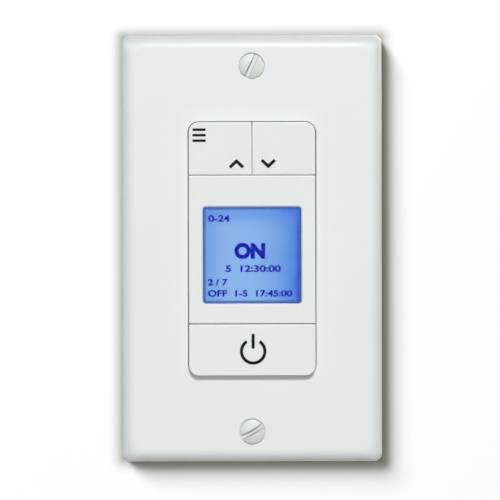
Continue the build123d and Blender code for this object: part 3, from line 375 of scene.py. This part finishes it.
def painted(name, colour, rough, speckle, slot=None):
    """Paint with small chips. A slot is given as its head's Z, its half width and its angle, and gets
    painted shade along both its edges.
    """
    finish = Finish(name)
    coat = finish.clouds(0.0011, 3)
    chips = finish.clamped((finish.clouds(0.0005, 4) - 0.66) * 14)
    bare_steel = (0.5, 0.5, 0.5)
    tone = finish.between(coat, shade(colour, 0.94), colour)
    tone = finish.between(chips * speckle, tone, bare_steel)
    if slot:
        # painted shade in a thin band along both edges of the slot
        slot_shade_reach = 0.10 * MM
        head_z, half_width, angle = slot
        across = finish.axis("X") * math.sin(angle) - (finish.axis("Z") - head_z) * math.cos(angle)
        from_edge = finish.maths("ABSOLUTE", finish.maths("ABSOLUTE", across) - half_width)
        slot_shade = finish.clamped(1.5 - from_edge / slot_shade_reach) * (coat * 0.5 + 0.45)
        tone = finish.between(slot_shade, tone, (0.20, 0.22, 0.20))
    return finish.surface(
        Base_Color=tone,
        Metallic=chips * speckle,
        Roughness=coat * 0.12 + (rough - 0.06),
        Specular_IOR_Level=0.3,
        Normal=finish.bump(coat, 0.00001),
    )


def pressed_fibre(name, colour):
    """Fibre board with threads of darker pulp."""
    finish = Finish(name)
    pulp = finish.clouds(0.0007, 5, (1, 1, 0.25))
    return finish.surface(
        Base_Color=finish.between(pulp, shade(colour, 0.55), shade(colour, 1.25)),
        Roughness=pulp * 0.2 + 0.7,
        Normal=finish.bump(pulp, 0.00003),
    )


def clear(name, colour, rough, ior):
    """Clear plastic or glass with a faint haze."""
    finish = Finish(name)
    haze = finish.clouds(0.004, 2)
    return finish.surface(
        Base_Color=finish.between(haze, shade(colour, 0.985), colour),
        Roughness=rough,
        Transmission_Weight=1.0,
        IOR=ior,
    )


finishes |= {
    "white_steel": painted("white_steel", SCREW_PAINT, 0.46, 0.35),
    "green_screw": painted("green_screw", (0.02, 0.22, 0.06), 0.3, 0.5),
    "fibre": pressed_fibre("fibre", (0.38, 0.20, 0.10)),
    "clear_window": clear("clear_window", (0.99, 1.0, 1.0), 0.0, 1.12),
    "display_glass": clear("display_glass", (0.93, 0.97, 0.96), 0.01, 1.5),
}
print(len(finishes), "finishes with paint, fibre and glass")

# %% [markdown]
# ## Boards, wire and ribbon
# A circuit board is green lacquer over copper, which shows as slightly paler tracks. Real tracks run
# straight and turn square, and a brick pattern with rows of unequal bricks gives that look at a tenth
# of the work of drawing them. Wound wire is a row of fine rings, so a wave along the winding's axis
# makes both its shade and its relief.

# %% Boards and windings
BANDS = 3.18        # a wave pattern's bands in a metre, for a scale of 1


def board(name):
    """Green lacquer over copper tracks."""
    finish = Finish(name)
    facing_front = {"Vector": finish.place(), "Rotation": (math.pi / 2, 0, 0)}
    tracks = finish.node(
        "ShaderNodeTexBrick", {"offset": 0.37, "squash": 1.7, "squash_frequency": 3},
        {
            "Vector": finish.node("ShaderNodeMapping", None, facing_front), "Scale": 180.0,
            "Mortar Size": 0.03, "Mortar Smooth": 0.1, "Brick Width": 0.62, "Row Height": 0.21,
        }, "Fac",
    )
    lacquer = finish.clouds(0.002, 3)
    green = finish.between(lacquer, (0.012, 0.10, 0.035), (0.016, 0.13, 0.045))
    return finish.surface(
        Base_Color=finish.between(tracks, green, (0.05, 0.24, 0.09)),
        Roughness=lacquer * 0.1 + 0.28,
        Normal=finish.bump(tracks, 0.00003),
    )


def bands(finish, direction, scale):
    """Soft bands that lie across an axis."""
    return finish.node(
        "ShaderNodeTexWave",
        {"wave_type": "BANDS", "bands_direction": direction, "wave_profile": "SIN"},
        {"Vector": finish.place(), "Scale": scale, "Distortion": 0.0}, "Fac",
    )


def winding(name, direction, wire):
    """Rings of wire of a given thickness."""
    finish = Finish(name)
    rings = bands(finish, direction, 1 / wire / BANDS)
    return finish.surface(
        Base_Color=finish.between(rings, (0.16, 0.045, 0.012), (0.66, 0.26, 0.09)),
        Metallic=0.7,
        Roughness=finish.clouds(0.001) * 0.1 + 0.3,
        Normal=finish.bump(rings, wire / 3),
    )


def ribbon(name):
    """Amber film with copper tracks in it."""
    finish = Finish(name)
    tracks = bands(finish, "X", 400.0)
    return finish.surface(
        Base_Color=finish.between(tracks, (0.42, 0.16, 0.03), (0.62, 0.30, 0.06)),
        Roughness=finish.clouds(0.001) * 0.1 + 0.3,
    )


finishes |= {
    "board_green": board("board_green"),
    "copper_wire": winding("copper_wire", "Y", 0.00025),
    "flex_amber": ribbon("flex_amber"),
    "led": plastic("led", (0.75, 0.78, 0.45), 0.3),
}
print(len(finishes), "finishes in all")

# %% [markdown]
# ## Dressing the solids
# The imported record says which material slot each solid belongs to, so the finishes are named after
# the slots and a loop hands them out. The relay's coil is wound round an upright core, so its rings
# lie across Z and not Y, and it gets a finish of its own.

# %% Hand out the finishes
own_finish = {"relay_coil": winding("copper_wire_upright", "Z", 0.0002)}
for part in frame["record"]["subparts"]:
    name = part["node"]
    for place in frame["nodes"][name].material_slots:
        place.material = own_finish.get(name) or finishes[part["material_slot"]]

# %% [markdown]
# ## The lit display
# Behind the window lies a liquid crystal panel with blue light behind it. It is palest left of its
# middle and deep blue at the right edge. The front film is the surface that the eye sees, so it
# glows: a ramp across picks the blue, a bluer band lies along the top, the upper right corner is
# dark, slow clouds make the field uneven, and a darker line runs round it. Lamps behind a half-clear
# film would be the other way, but they give noise and need the light of the whole stack.

# %% The glowing film
window_low, window_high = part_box("display_window")
flange_lip = 1.3 * MM
field_inset = 0.25 * MM
field_middle_x = (window_low.x + window_high.x) / 2
field_middle_z = (window_low.z + window_high.z) / 2
field_half_width = (window_high.x - window_low.x) / 2 - flange_lip - field_inset
field_half_height = (window_high.z - window_low.z) / 2 - flange_lip - field_inset


def lit_film():
    """The glow of the lit panel. Across and up run from -1 to 1 over the field."""
    finish = Finish("lit_film")
    across = (finish.axis("X") - field_middle_x) / field_half_width
    up = (finish.axis("Z") - field_middle_z) / field_half_height
    edge = finish.maths("MAXIMUM", finish.maths("ABSOLUTE", across), finish.maths("ABSOLUTE", up))
    cloud = finish.clouds(0.006, 2)
    left_to_right = [
        (0.03, (0.13, 0.30, 0.70)), (0.20, (0.225, 0.41, 0.77)), (0.50, (0.22, 0.42, 0.79)),
        (0.74, (0.15, 0.335, 0.72)), (0.88, (0.065, 0.225, 0.71)), (0.945, (0.03, 0.16, 0.72)),
        (0.975, (0.002, 0.05, 0.46)),
    ]
    ramp = {"Fac": across * 0.5 + 0.5}
    blue = finish.node("ShaderNodeValToRGB", {"stops": left_to_right}, ramp)
    layers = (
        (finish.clamped((up - 0.62) * 5) * 0.6, (0.06, 0.22, 0.72)),          # band at the top
        (finish.clamped((across + up - 1.45) * 2), (0.01, 0.09, 0.62)),       # upper right corner
        (cloud * 0.25, (0.30, 0.52, 0.86)),                                   # paler patches
        (finish.clamped((edge - 0.955) * 50) * 0.8, (0.03, 0.09, 0.36)),      # line round the field
    )
    for share, colour in layers:
        blue = finish.between(share, blue, colour)
    return finish.surface(
        Base_Color=finish.between(cloud, (0.004, 0.006, 0.012), (0.008, 0.012, 0.02)),
        Roughness=0.35,
        Specular_IOR_Level=0.0,
        Emission_Color=blue,
        Emission_Strength=1.0,
    )


frame["nodes"]["front_polariser"].material_slots[0].material = lit_film()
field_size = [round(2 * half / MM, 2) for half in (field_half_width, field_half_height)]
print("lit field", *field_size, "mm")

# %% [markdown]
# ## Starting a new piece
# New pieces are built by hand, one operator after another. An operator works on everything that is
# selected, and the loaded solids still are, so each piece starts from an empty selection. settle()
# ends a piece: its place goes into its mesh, its doubles are merged, and its faces are turned
# outwards.

# %% Helpers for new pieces
DOUBLES = 0.000001          # vertices closer than this are one


def start():
    """Leaves edit mode and deselects everything."""
    if bpy.context.object and bpy.context.object.mode != "OBJECT":
        bpy.ops.object.mode_set(mode="OBJECT")
    bpy.ops.object.select_all(action="DESELECT")


def select(test):
    """In edit mode, selects the vertices that pass the test, and the edges and faces between them."""
    bpy.ops.object.mode_set(mode="OBJECT")
    mesh = bpy.context.object.data
    for group in (mesh.polygons, mesh.edges, mesh.vertices):
        for item in group:
            item.select = False
    for vertex in mesh.vertices:
        vertex.select = test(vertex.co)
    bpy.ops.object.mode_set(mode="EDIT")
    bpy.ops.mesh.select_mode(type="VERT")


def alone(piece):
    """Makes a piece the only selected one, and the active one."""
    start()
    bpy.context.view_layer.objects.active = piece
    piece.select_set(True)


def settle(piece, name, finish, smooth=None):
    """Names the piece, puts its place into its mesh, closes its seams and gives it its finish."""
    alone(piece)
    bpy.ops.object.transform_apply(location=True, rotation=True, scale=True)
    bpy.ops.object.mode_set(mode="EDIT")
    bpy.ops.mesh.select_all(action="SELECT")
    bpy.ops.mesh.remove_doubles(threshold=DOUBLES)
    bpy.ops.mesh.normals_make_consistent(inside=False)
    bpy.ops.object.mode_set(mode="OBJECT")
    if smooth:
        bpy.ops.object.shade_smooth_by_angle(angle=math.radians(smooth))
    piece.name = name
    piece.data.name = name
    piece.data.materials.clear()
    piece.data.materials.append(finish)
    piece.select_set(False)
    return piece


def joined(pieces):
    """Makes one piece of several."""
    start()
    for piece in pieces:
        piece.select_set(True)
    bpy.context.view_layer.objects.active = pieces[0]
    bpy.ops.object.join()
    return bpy.context.object


print("ready to build")

# %% [markdown]
# ## Signs on the keys
# The signs are printed in near-black ink. Each is a closed sheet of a few hundredths of a
# millimetre, sunk most of the way into its key and moving with it, so that a hundredth stands proud.
# Bars are cubes with rounded corners. An arrow is a bar, cut in the middle and lifted there. The
# power sign is a short section of the ring spun round its centre, and an upright bar in its gap.

# %% Ink and bars
INK = 0.03 * MM
SUNK = 0.02 * MM
ink_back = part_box("power_key")[0].y + SUNK
ink_finish = Finish("sign_ink")
ink_mottle = ink_finish.clouds(0.0003, 3)
ink = ink_finish.surface(
    Base_Color=ink_finish.between(ink_mottle, (0.002, 0.009, 0.007), (0.005, 0.014, 0.011)),
    Roughness=ink_mottle * 0.15 + 0.6,
    Specular_IOR_Level=0.05,
)


def bar(x, z, width, height):
    """Flat bar with square corners on the front of a key, given by its middle and its size."""
    start()
    bpy.ops.mesh.primitive_cube_add(size=1, location=(x, ink_back - INK / 2, z))
    piece = bpy.context.object
    piece.scale = (width, INK, height)
    bpy.ops.object.transform_apply(location=False, rotation=False, scale=True)
    return piece


def rounded(piece, radius):
    """Rounds the edges that run from the key's front out to the sheet's own front."""
    corners = piece.modifiers.new("corners", "BEVEL")
    corners.width = radius
    corners.segments = 4
    corners.limit_method = "WEIGHT"
    weights = piece.data.attributes.new("bevel_weight_edge", "FLOAT", "EDGE")
    for edge in piece.data.edges:
        ends = [piece.data.vertices[i].co for i in edge.vertices]
        weights.data[edge.index].value = 1.0 if abs(ends[0].y - ends[1].y) > INK / 2 else 0.0
    bpy.ops.object.modifier_apply(modifier="corners")
    return piece


CORNER = 0.12 * MM
menu_bars = [
    rounded(bar(x=-13.9 * MM, z=z * MM, width=3.46 * MM, height=0.66 * MM), CORNER)
    for z in (31.36, 29.92, 28.47)
]
menu_sign = settle(joined(menu_bars), "menu_sign", ink)
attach(menu_sign, "menu_up_key")
print("menu sign:", len(menu_sign.data.polygons), "faces")

# %% Arrows
def arrow(x, foot_z, tip_z, width, stroke):
    """Bar cut in the middle, with the middle moved to the tip and the ends cut square to the arms."""
    lift = tip_z - foot_z
    slope = abs(lift) / (width / 2)
    piece = bar(x, foot_z, width, stroke * math.hypot(1, slope))
    bpy.ops.object.mode_set(mode="EDIT")
    bpy.ops.mesh.select_all(action="SELECT")
    bpy.ops.mesh.bisect(plane_co=(x, ink_back, foot_z), plane_no=(1, 0, 0))
    select(lambda point: abs(point.x) < 0.001 * MM)
    bpy.ops.transform.translate(value=(0, 0, lift))
    outwards = stroke * slope / 2 / math.hypot(1, slope)
    for side in (-1, 1):
        for edge in (-1, 1):
            select(lambda point: point.x * side > width / 4 and point.z * edge > 0)
            step = outwards * side * edge * math.copysign(1, lift)
            bpy.ops.transform.translate(value=(step, 0, -abs(step) * slope * edge))
    bpy.ops.object.mode_set(mode="OBJECT")
    return rounded(piece, CORNER)


arrow_size = {"width": 3.5 * MM, "stroke": 0.82 * MM}
up_arrow = arrow(x=-4.08 * MM, foot_z=21.44 * MM, tip_z=23.08 * MM, **arrow_size)
down_arrow = arrow(x=4.29 * MM, foot_z=23.37 * MM, tip_z=21.73 * MM, **arrow_size)
up_sign = settle(up_arrow, "up_sign", ink)
down_sign = settle(down_arrow, "down_sign", ink)
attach(up_sign, "menu_up_key")
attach(down_sign, "down_key")
print("arrows:", len(up_sign.data.polygons), "and", len(down_sign.data.polygons), "faces")

# %% Power sign
def ring_sign(x, z, radius, stroke, half_gap):
    """Section of the ring at the right side of the gap, spun the long way round to its left side."""
    start()
    bpy.ops.mesh.primitive_plane_add(size=1, location=(x, ink_back - INK / 2, z + radius))
    piece = bpy.context.object
    piece.scale = (INK, stroke, 1)
    piece.rotation_euler = (math.pi / 2, 0, math.pi / 2)
    bpy.ops.object.transform_apply(location=True, rotation=True, scale=True)
    bpy.ops.object.mode_set(mode="EDIT")
    bpy.ops.mesh.select_all(action="SELECT")
    centre = (x, ink_back, z)
    bpy.ops.transform.rotate(value=-half_gap, orient_axis="Y", center_override=centre)
    bpy.ops.mesh.spin(steps=64, angle=2 * (math.pi - half_gap), center=centre, axis=(0, -1, 0))
    bpy.ops.object.mode_set(mode="OBJECT")
    return piece


stroke = 0.80 * MM
half_gap = math.radians(33)
power_ring = ring_sign(x=0.21 * MM, z=-26.94 * MM, radius=3.08 * MM, stroke=stroke, half_gap=half_gap)
power_bar = bar(x=0.19 * MM, z=-24.28 * MM, width=stroke, height=3.95 * MM)
power_stroke = rounded(power_bar, 0.3 * MM)
power_sign = settle(joined([power_ring, power_stroke]), "power_sign", ink)
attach(power_sign, "power_key")
sign_size = [round(size / MM, 2) for size in power_sign.dimensions]
print("power sign", sign_size, "mm")

# %% [markdown]
# ## The reading
# The panel draws its reading in dark blue. It holds plain numbers and the words ON and OFF. Text
# objects give smooth letters. Each is extruded a little, made a mesh, and then sized to the width
# that the reading has, just in front of the glowing film.

# %% Letters on the panel
film_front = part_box("front_polariser")[0].y
reading_finish = Finish("reading_blue")
reading_blot = reading_finish.clouds(0.0006, 2)
reading_blue = reading_finish.surface(
    Base_Color=reading_finish.between(reading_blot, (0.001, 0.001, 0.01), (0.002, 0.002, 0.02)),
    Roughness=0.4,
    Specular_IOR_Level=0.0,
    Emission_Color=reading_finish.between(reading_blot, (0.0, 0.002, 0.34), (0.0, 0.004, 0.42)),
    Emission_Strength=1.0,
)
LETTER_HALF_DEPTH = 0.02    # before the letters are scaled
LETTER_DEPTH_SCALE = 0.5 * MM
LETTER_LIFT = 0.02 * MM     # from the film to the letters' middle


def line_of_text(name, words, left, right, top, bottom, boldness):
    """Text fitted between two X and two Z values on the panel."""
    start()
    bpy.ops.object.text_add(location=(0, 0, 0))
    piece = bpy.context.object
    piece.data.body = words
    piece.data.extrude = LETTER_HALF_DEPTH
    piece.data.offset = boldness
    piece.data.resolution_u = 6
    bpy.ops.object.convert(target="MESH")
    xs = [v.co.x for v in piece.data.vertices]
    ys = [v.co.y for v in piece.data.vertices]
    wide = (right - left) / (max(xs) - min(xs))
    tall = (top - bottom) / (max(ys) - min(ys))
    piece.scale = (wide, tall, LETTER_DEPTH_SCALE)
    piece.rotation_euler = (math.pi / 2, 0, 0)
    piece.location = (left - min(xs) * wide, film_front - LETTER_LIFT, bottom - min(ys) * tall)
    settle(piece, name, reading_blue)
    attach(piece, "switch")
    return piece


reading = {                 # words, then their left, right, top and bottom in mm
    "reading_range": ("0-24", -11.6, -5.9, 8.95, 7.1),
    "reading_state": ("ON", -4.68, 3.49, 1.57, -2.74),
    "reading_time": ("5  12:30:00", -7.03, 7.66, -4.35, -6.2),
    "reading_number": ("2 / 7", -11.73, -6.5, -8.0, -9.8),
    "reading_next": ("OFF  1-5  17:45:00", -11.73, 10.62, -10.95, -12.75),
}
for name, (words, *edges) in reading.items():
    bold = 0.062 if name == "reading_state" else 0.034
    piece = line_of_text(name, words, *[edge * MM for edge in edges], bold)
    print(name, len(piece.data.polygons), "faces")

# %% [markdown]
# ## Threaded screws
# The plate screws and the box screws are the only fasteners that a visitor can see along their
# length. A thread is one section, swept round and forward at once: the Screw modifier does that for
# an open line, and the same modifier without the forward travel turns the head. The slot is cut by
# a block. The solids of these screws stay in the model for the physics, and these pieces stand for
# them. A thread too fine for the physics is only a look.

# %% Draw a line and sweep it
SWEPT_DOUBLES = 0.000002


def drawn_line(points):
    """Line through points of radius and height, drawn in the XZ plane by extruding a vertex."""
    start()
    bpy.ops.mesh.primitive_plane_add(size=MM, location=(0, 0, 0))
    line = bpy.context.object
    bpy.ops.object.mode_set(mode="EDIT")
    bpy.ops.mesh.select_all(action="SELECT")
    bpy.ops.mesh.merge(type="CENTER")
    bpy.ops.transform.translate(value=(points[0][0], 0, points[0][1]))
    for (r0, z0), (r1, z1) in zip(points, points[1:]):
        bpy.ops.mesh.extrude_region_move(TRANSFORM_OT_translate={"value": (r1 - r0, 0, z1 - z0)})
    bpy.ops.object.mode_set(mode="OBJECT")
    return line


def swept(line, steps, turns=1, pitch=0.0):
    """Turns a line round Z, and forward by a pitch in each turn."""
    screw = line.modifiers.new("sweep", "SCREW")
    screw.axis = "Z"
    screw.steps = steps
    screw.render_steps = steps
    screw.screw_offset = pitch
    screw.iterations = turns
    screw.use_merge_vertices = True
    screw.merge_threshold = SWEPT_DOUBLES
    alone(line)
    bpy.ops.object.modifier_apply(modifier="sweep")
    return line


def closed_ends(piece):
    """Fills the open rims that a swept thread leaves."""
    alone(piece)
    bpy.ops.object.mode_set(mode="EDIT")
    bpy.ops.mesh.select_all(action="SELECT")
    bpy.ops.mesh.remove_doubles(threshold=SWEPT_DOUBLES)
    bpy.ops.mesh.fill_holes(sides=0)
    bpy.ops.mesh.normals_make_consistent(inside=False)
    bpy.ops.object.mode_set(mode="OBJECT")
    return piece


print("lines can be swept now")

# %% Screws
THREAD_PITCH = 0.794 * MM   # No. 6-32, 32 threads in an inch
TIP = 0.72                  # radius at the screw's tip, as a share of the thread's root
BURIED = 0.96               # the same share for where the thread starts inside the shank
HEAD_STEPS, THREAD_STEPS = 48, 24


def machine_screw(head, neck, length, crest, root, slot_width, slot_depth, slot_angle):
    """Screw with its head's seat at zero, standing along Z with the head up."""
    pitch = THREAD_PITCH
    turns = int((length - neck) / pitch) - 1
    blank = head + [
        (root, head[-1][1]), (root, -length + 0.5 * pitch), (root * TIP, -length), (0.0, -length),
    ]
    body = closed_ends(swept(drawn_line(blank), HEAD_STEPS))
    tooth = [
        (root * BURIED, 0.0), (root, pitch * 0.06), (crest, pitch * 0.44), (crest, pitch * 0.56),
        (root, pitch * 0.94), (root * BURIED, pitch),
    ]
    thread = closed_ends(swept(drawn_line(tooth), THREAD_STEPS, turns, pitch))
    thread.location = (0, 0, -length + pitch)
    start()
    bpy.ops.mesh.primitive_cube_add(size=1, location=(0, 0, head[0][1]))
    cutter = bpy.context.object
    cutter.scale = (4 * head[-1][0] + 8 * MM, slot_width, 2 * slot_depth)
    cutter.rotation_euler = (0, 0, slot_angle)
    for other, operation in ((cutter, "DIFFERENCE"), (thread, "UNION")):
        cut = body.modifiers.new("cut", "BOOLEAN")
        cut.operation = operation
        cut.object = other
        cut.solver = "EXACT"
        alone(body)
        bpy.ops.object.modifier_apply(modifier="cut")
        bpy.data.objects.remove(other)
    return body


def place_screw(piece, name, y, z, finish, node):
    """Turns a screw to the front, sets it in its place and lets it stand for its solid."""
    piece.rotation_euler = (math.pi / 2, 0, 0)
    piece.location = (0, y, z)
    settle(piece, name, finish, smooth=35)
    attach(piece, "switch")
    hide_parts(node)
    print(name, len(piece.data.polygons), "faces")


def dome(radius, rise, steps=8):
    """Points from the top of a shallow dome down to its rim."""
    sphere = (radius ** 2 + rise ** 2) / (2 * rise)
    half = math.asin(radius / sphere)
    return [
        (sphere * math.sin(half * i / steps), rise - sphere + sphere * math.cos(half * i / steps))
        for i in range(steps + 1)
    ]


print("screws can be cut now")

# %% Plate screws
plate_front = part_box("wall_plate")[0].y
screw_low, screw_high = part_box("plate_screws")
head_radius = (screw_high.x - screw_low.x) / 2
plate_screw_z = (screw_high.z - screw_low.z) / 2 - head_radius
plate_slot = 1.2 * MM
cone = 1.7 * MM             # height of the head's cone under its dome
oval_head = dome(head_radius, rise=0.75 * MM) + [(1.45 * MM, -cone)]
for name, side, angle in (("plate_screw_top", 1, 65), ("plate_screw_bottom", -1, 29.5)):
    angle = math.radians(angle)
    screw = machine_screw(
        oval_head, neck=cone, length=12.7 * MM, crest=1.7 * MM, root=1.32 * MM,
        slot_width=plate_slot, slot_depth=0.9 * MM, slot_angle=angle,
    )
    slot = (side * plate_screw_z, plate_slot / 2, angle)
    paint = painted(name + "_paint", SCREW_PAINT, 0.46, 0.35, slot)
    place_screw(screw, name, plate_front, side * plate_screw_z, paint, "plate_screws")

# %% Box screws
strap_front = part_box("mounting_strap")[0].y
box_low, box_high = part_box("box_screws")
pan_radius = (box_high.x - box_low.x) / 2
box_screw_z = (box_high.z - box_low.z) / 2 - pan_radius
pan_height, pan_edge = 2.1 * MM, 0.8 * MM       # the edge is a quarter round
neck_radius, neck = 1.5 * MM, 2.25 * MM
pan_head = [(0.0, pan_height)] + [
    (pan_radius - pan_edge * (1 - math.sin(a)), pan_height - pan_edge + pan_edge * math.cos(a))
    for a in (0, 0.4, 0.8, 1.2, math.pi / 2)
] + [(pan_radius, 0.0), (neck_radius, 0.0), (neck_radius, -neck)]
zinc_steel = finishes["zinc_steel"]
for name, side, angle in (("box_screw_top", 1, 90), ("box_screw_bottom", -1, 20)):
    screw = machine_screw(
        pan_head, neck, length=25.4 * MM, crest=1.75 * MM, root=1.36 * MM,
        slot_width=1.0 * MM, slot_depth=1.0 * MM, slot_angle=math.radians(angle),
    )
    place_screw(screw, name, strap_front, side * box_screw_z, zinc_steel, "box_screws")

# %% [markdown]
# ## Wall
# The photograph shows the switch on plain white. The wall lies just behind the plate's rim, and it
# is a stage, so it doesn't belong to the object. Its paint is darker than it looks, because its own
# lamps are strong: a pale wall under weak lamps would take so much light from the plate beside it
# that the shadow would fade. Its paint darkens a little towards the rim, a painted shadow that
# deepens the real one where it is deepest.
# From behind the wall is see-through, and no shadow ray stops at it, so that the back of the object
# can be seen and lit.

# %% Wall
WALL_SIZE = 6
WALL_GAP = 0.2 * MM         # from the plate's rim back to the wall
RIM_SHADE = 4.5 * MM        # how far the painted shadow reaches from the rim
wall_finish = Finish("wall_white")
distance = wall_finish.outside(plate_high.x, plate_high.z, up="Y")
# painted shadow: the wall's paint darkens and turns yellowish towards the plate's rim
painted_rim_shadow = wall_finish.clamped(1 - distance / RIM_SHADE) ** 2
white = wall_finish.between(painted_rim_shadow, (0.25, 0.25, 0.25), (0.122, 0.128, 0.104))
paint = wall_finish.node("ShaderNodeBsdfDiffuse", None, {"Color": white})
hidden = wall_finish.node("ShaderNodeBsdfTransparent")
from_behind = wall_finish.node("ShaderNodeNewGeometry", output="Backfacing")
shadow_ray = wall_finish.node("ShaderNodeLightPath", output="Is Shadow Ray")
open_wall = wall_finish.maths("MAXIMUM", from_behind, shadow_ray)
wall_shader = wall_finish.node("ShaderNodeMixShader", None, {0: open_wall, 1: paint, 2: hidden})
wall_white = wall_finish.end(wall_shader)
start()
upright = (math.pi / 2, 0, 0)
bpy.ops.mesh.primitive_plane_add(size=WALL_SIZE, location=(0, WALL_GAP, 0), rotation=upright)
wall = bpy.context.object
wall.name = "wall"
wall.data.materials.append(wall_white)
wall_normal = wall.matrix_world.to_3x3() @ wall.data.polygons[0].normal
print("wall faces", [round(v, 2) for v in wall_normal])

# %% [markdown]
# ## Lamps, world and camera
# In the photograph the face is lit flat and even, but its shadow on the white is deep: dark and wide
# at the right and below, thin at the left and above. One set of lamps can't give both. So the wall
# has two lamps of its own, a strong one from the upper left and a very wide one in front, and the
# object has two others, a wide one from a little below and a smaller one from above that draws the
# shade under the keys. Light linking keeps each pair to its own receiver. A lamp at the back lights
# the housing. The world adds a faint level and shows as plain white, also in gloss and through glass.
# The camera looks straight at the wall, from a little above and to the left of the switch's middle,
# and a small shift puts the switch where the photograph has it.

# %% Lamps
def lamp(name, direction, distance, size, level):
    """Round lamp that faces the object. At level 1 a white surface turned to it renders white."""
    reach = math.sqrt(sum(part ** 2 for part in direction))
    start()
    bpy.ops.object.light_add(type="AREA", location=[distance * part / reach for part in direction])
    light = bpy.context.object
    light.name = name
    light.data.shape = "DISK"
    light.data.size = size
    light.data.energy = level * math.pi ** 2 * (distance ** 2 + size ** 2 / 4)
    light.rotation_euler = (-light.location).to_track_quat("-Z", "Y").to_euler()
    return light


def aimed(light, state):
    """Keeps a lamp to the wall alone, or off the wall."""
    chosen = bpy.data.collections.new(light.name + "_wall")
    chosen.objects.link(wall)
    chosen.collection_objects[0].light_linking.link_state = state
    light.light_linking.receiver_collection = chosen


softbox = lamp("softbox", (-0.05, -1.0, -0.34), distance=1.6, size=1.4, level=0.29)
key_lamp = lamp("key_lamp", (0.06, -1.0, 0.78), distance=2.2, size=0.5, level=0.97)
wall_key = lamp("wall_key", (-0.98, -1.0, 1.12), distance=3.6, size=1.9, level=4.9)
wall_sky = lamp("wall_sky", (0.0, -1.0, 0.0), distance=0.9, size=3.0, level=1.18)
lamp("rear_lamp", (0.45, 1.0, 0.50), distance=1.2, size=0.9, level=0.75)
wall_key.data.color = (1.0, 0.99, 1.06)
wall_sky.data.color = (1.0, 1.01, 0.90)
for light, state in (
    (softbox, "EXCLUDE"), (key_lamp, "EXCLUDE"), (wall_key, "INCLUDE"), (wall_sky, "INCLUDE"),
):
    aimed(light, state)
print("four lamps in front and one at the back")

# %% World
WORLD_LEVEL = 0.10          # the world's light on matt surfaces; it shows as 1
studio = Finish("studio", bpy.data.worlds)
seen = 0.0
for ray in ("Is Camera Ray", "Is Glossy Ray", "Is Transmission Ray"):
    seen = studio.maths("MAXIMUM", seen, studio.node("ShaderNodeLightPath", output=ray))
strength = seen * (1 - WORLD_LEVEL) + WORLD_LEVEL
sky = studio.node("ShaderNodeBackground", None, {"Color": (1, 1, 1, 1), "Strength": strength})
bpy.context.scene.world = studio.end(sky, "ShaderNodeOutputWorld")
bpy.context.scene.view_settings.view_transform = "Standard"
print("world level", WORLD_LEVEL)

# %% Camera
WALL_PIXELS_PER_MM = 3.70
FRAME_PIXELS = 500
SENSOR_WIDTH = 36
CAMERA_DISTANCE = 0.290
camera_x, camera_z = -0.005, 0.007
roll = math.radians(0.12)
plate_pixel = (251.6, 248.2)        # where the plate's middle lies in the photograph
across_wall = FRAME_PIXELS / WALL_PIXELS_PER_MM * MM
start()
bpy.ops.object.camera_add(
    location=(camera_x, -CAMERA_DISTANCE, camera_z), rotation=(math.pi / 2, roll, 0)
)
camera = bpy.context.object
camera.data.sensor_width = SENSOR_WIDTH
camera.data.lens = SENSOR_WIDTH * CAMERA_DISTANCE / across_wall
axis_pixel = (
    plate_pixel[0] + camera_x / MM * WALL_PIXELS_PER_MM,
    plate_pixel[1] - camera_z / MM * WALL_PIXELS_PER_MM,
)
camera.data.shift_x = (FRAME_PIXELS / 2 - axis_pixel[0]) / FRAME_PIXELS
camera.data.shift_y = -(FRAME_PIXELS / 2 - axis_pixel[1]) / FRAME_PIXELS
camera.data.clip_start = 0.01
bpy.context.scene.camera = camera
shift = (round(camera.data.shift_x, 3), round(camera.data.shift_y, 3))
print("lens", round(camera.data.lens, 1), "shift", *shift)
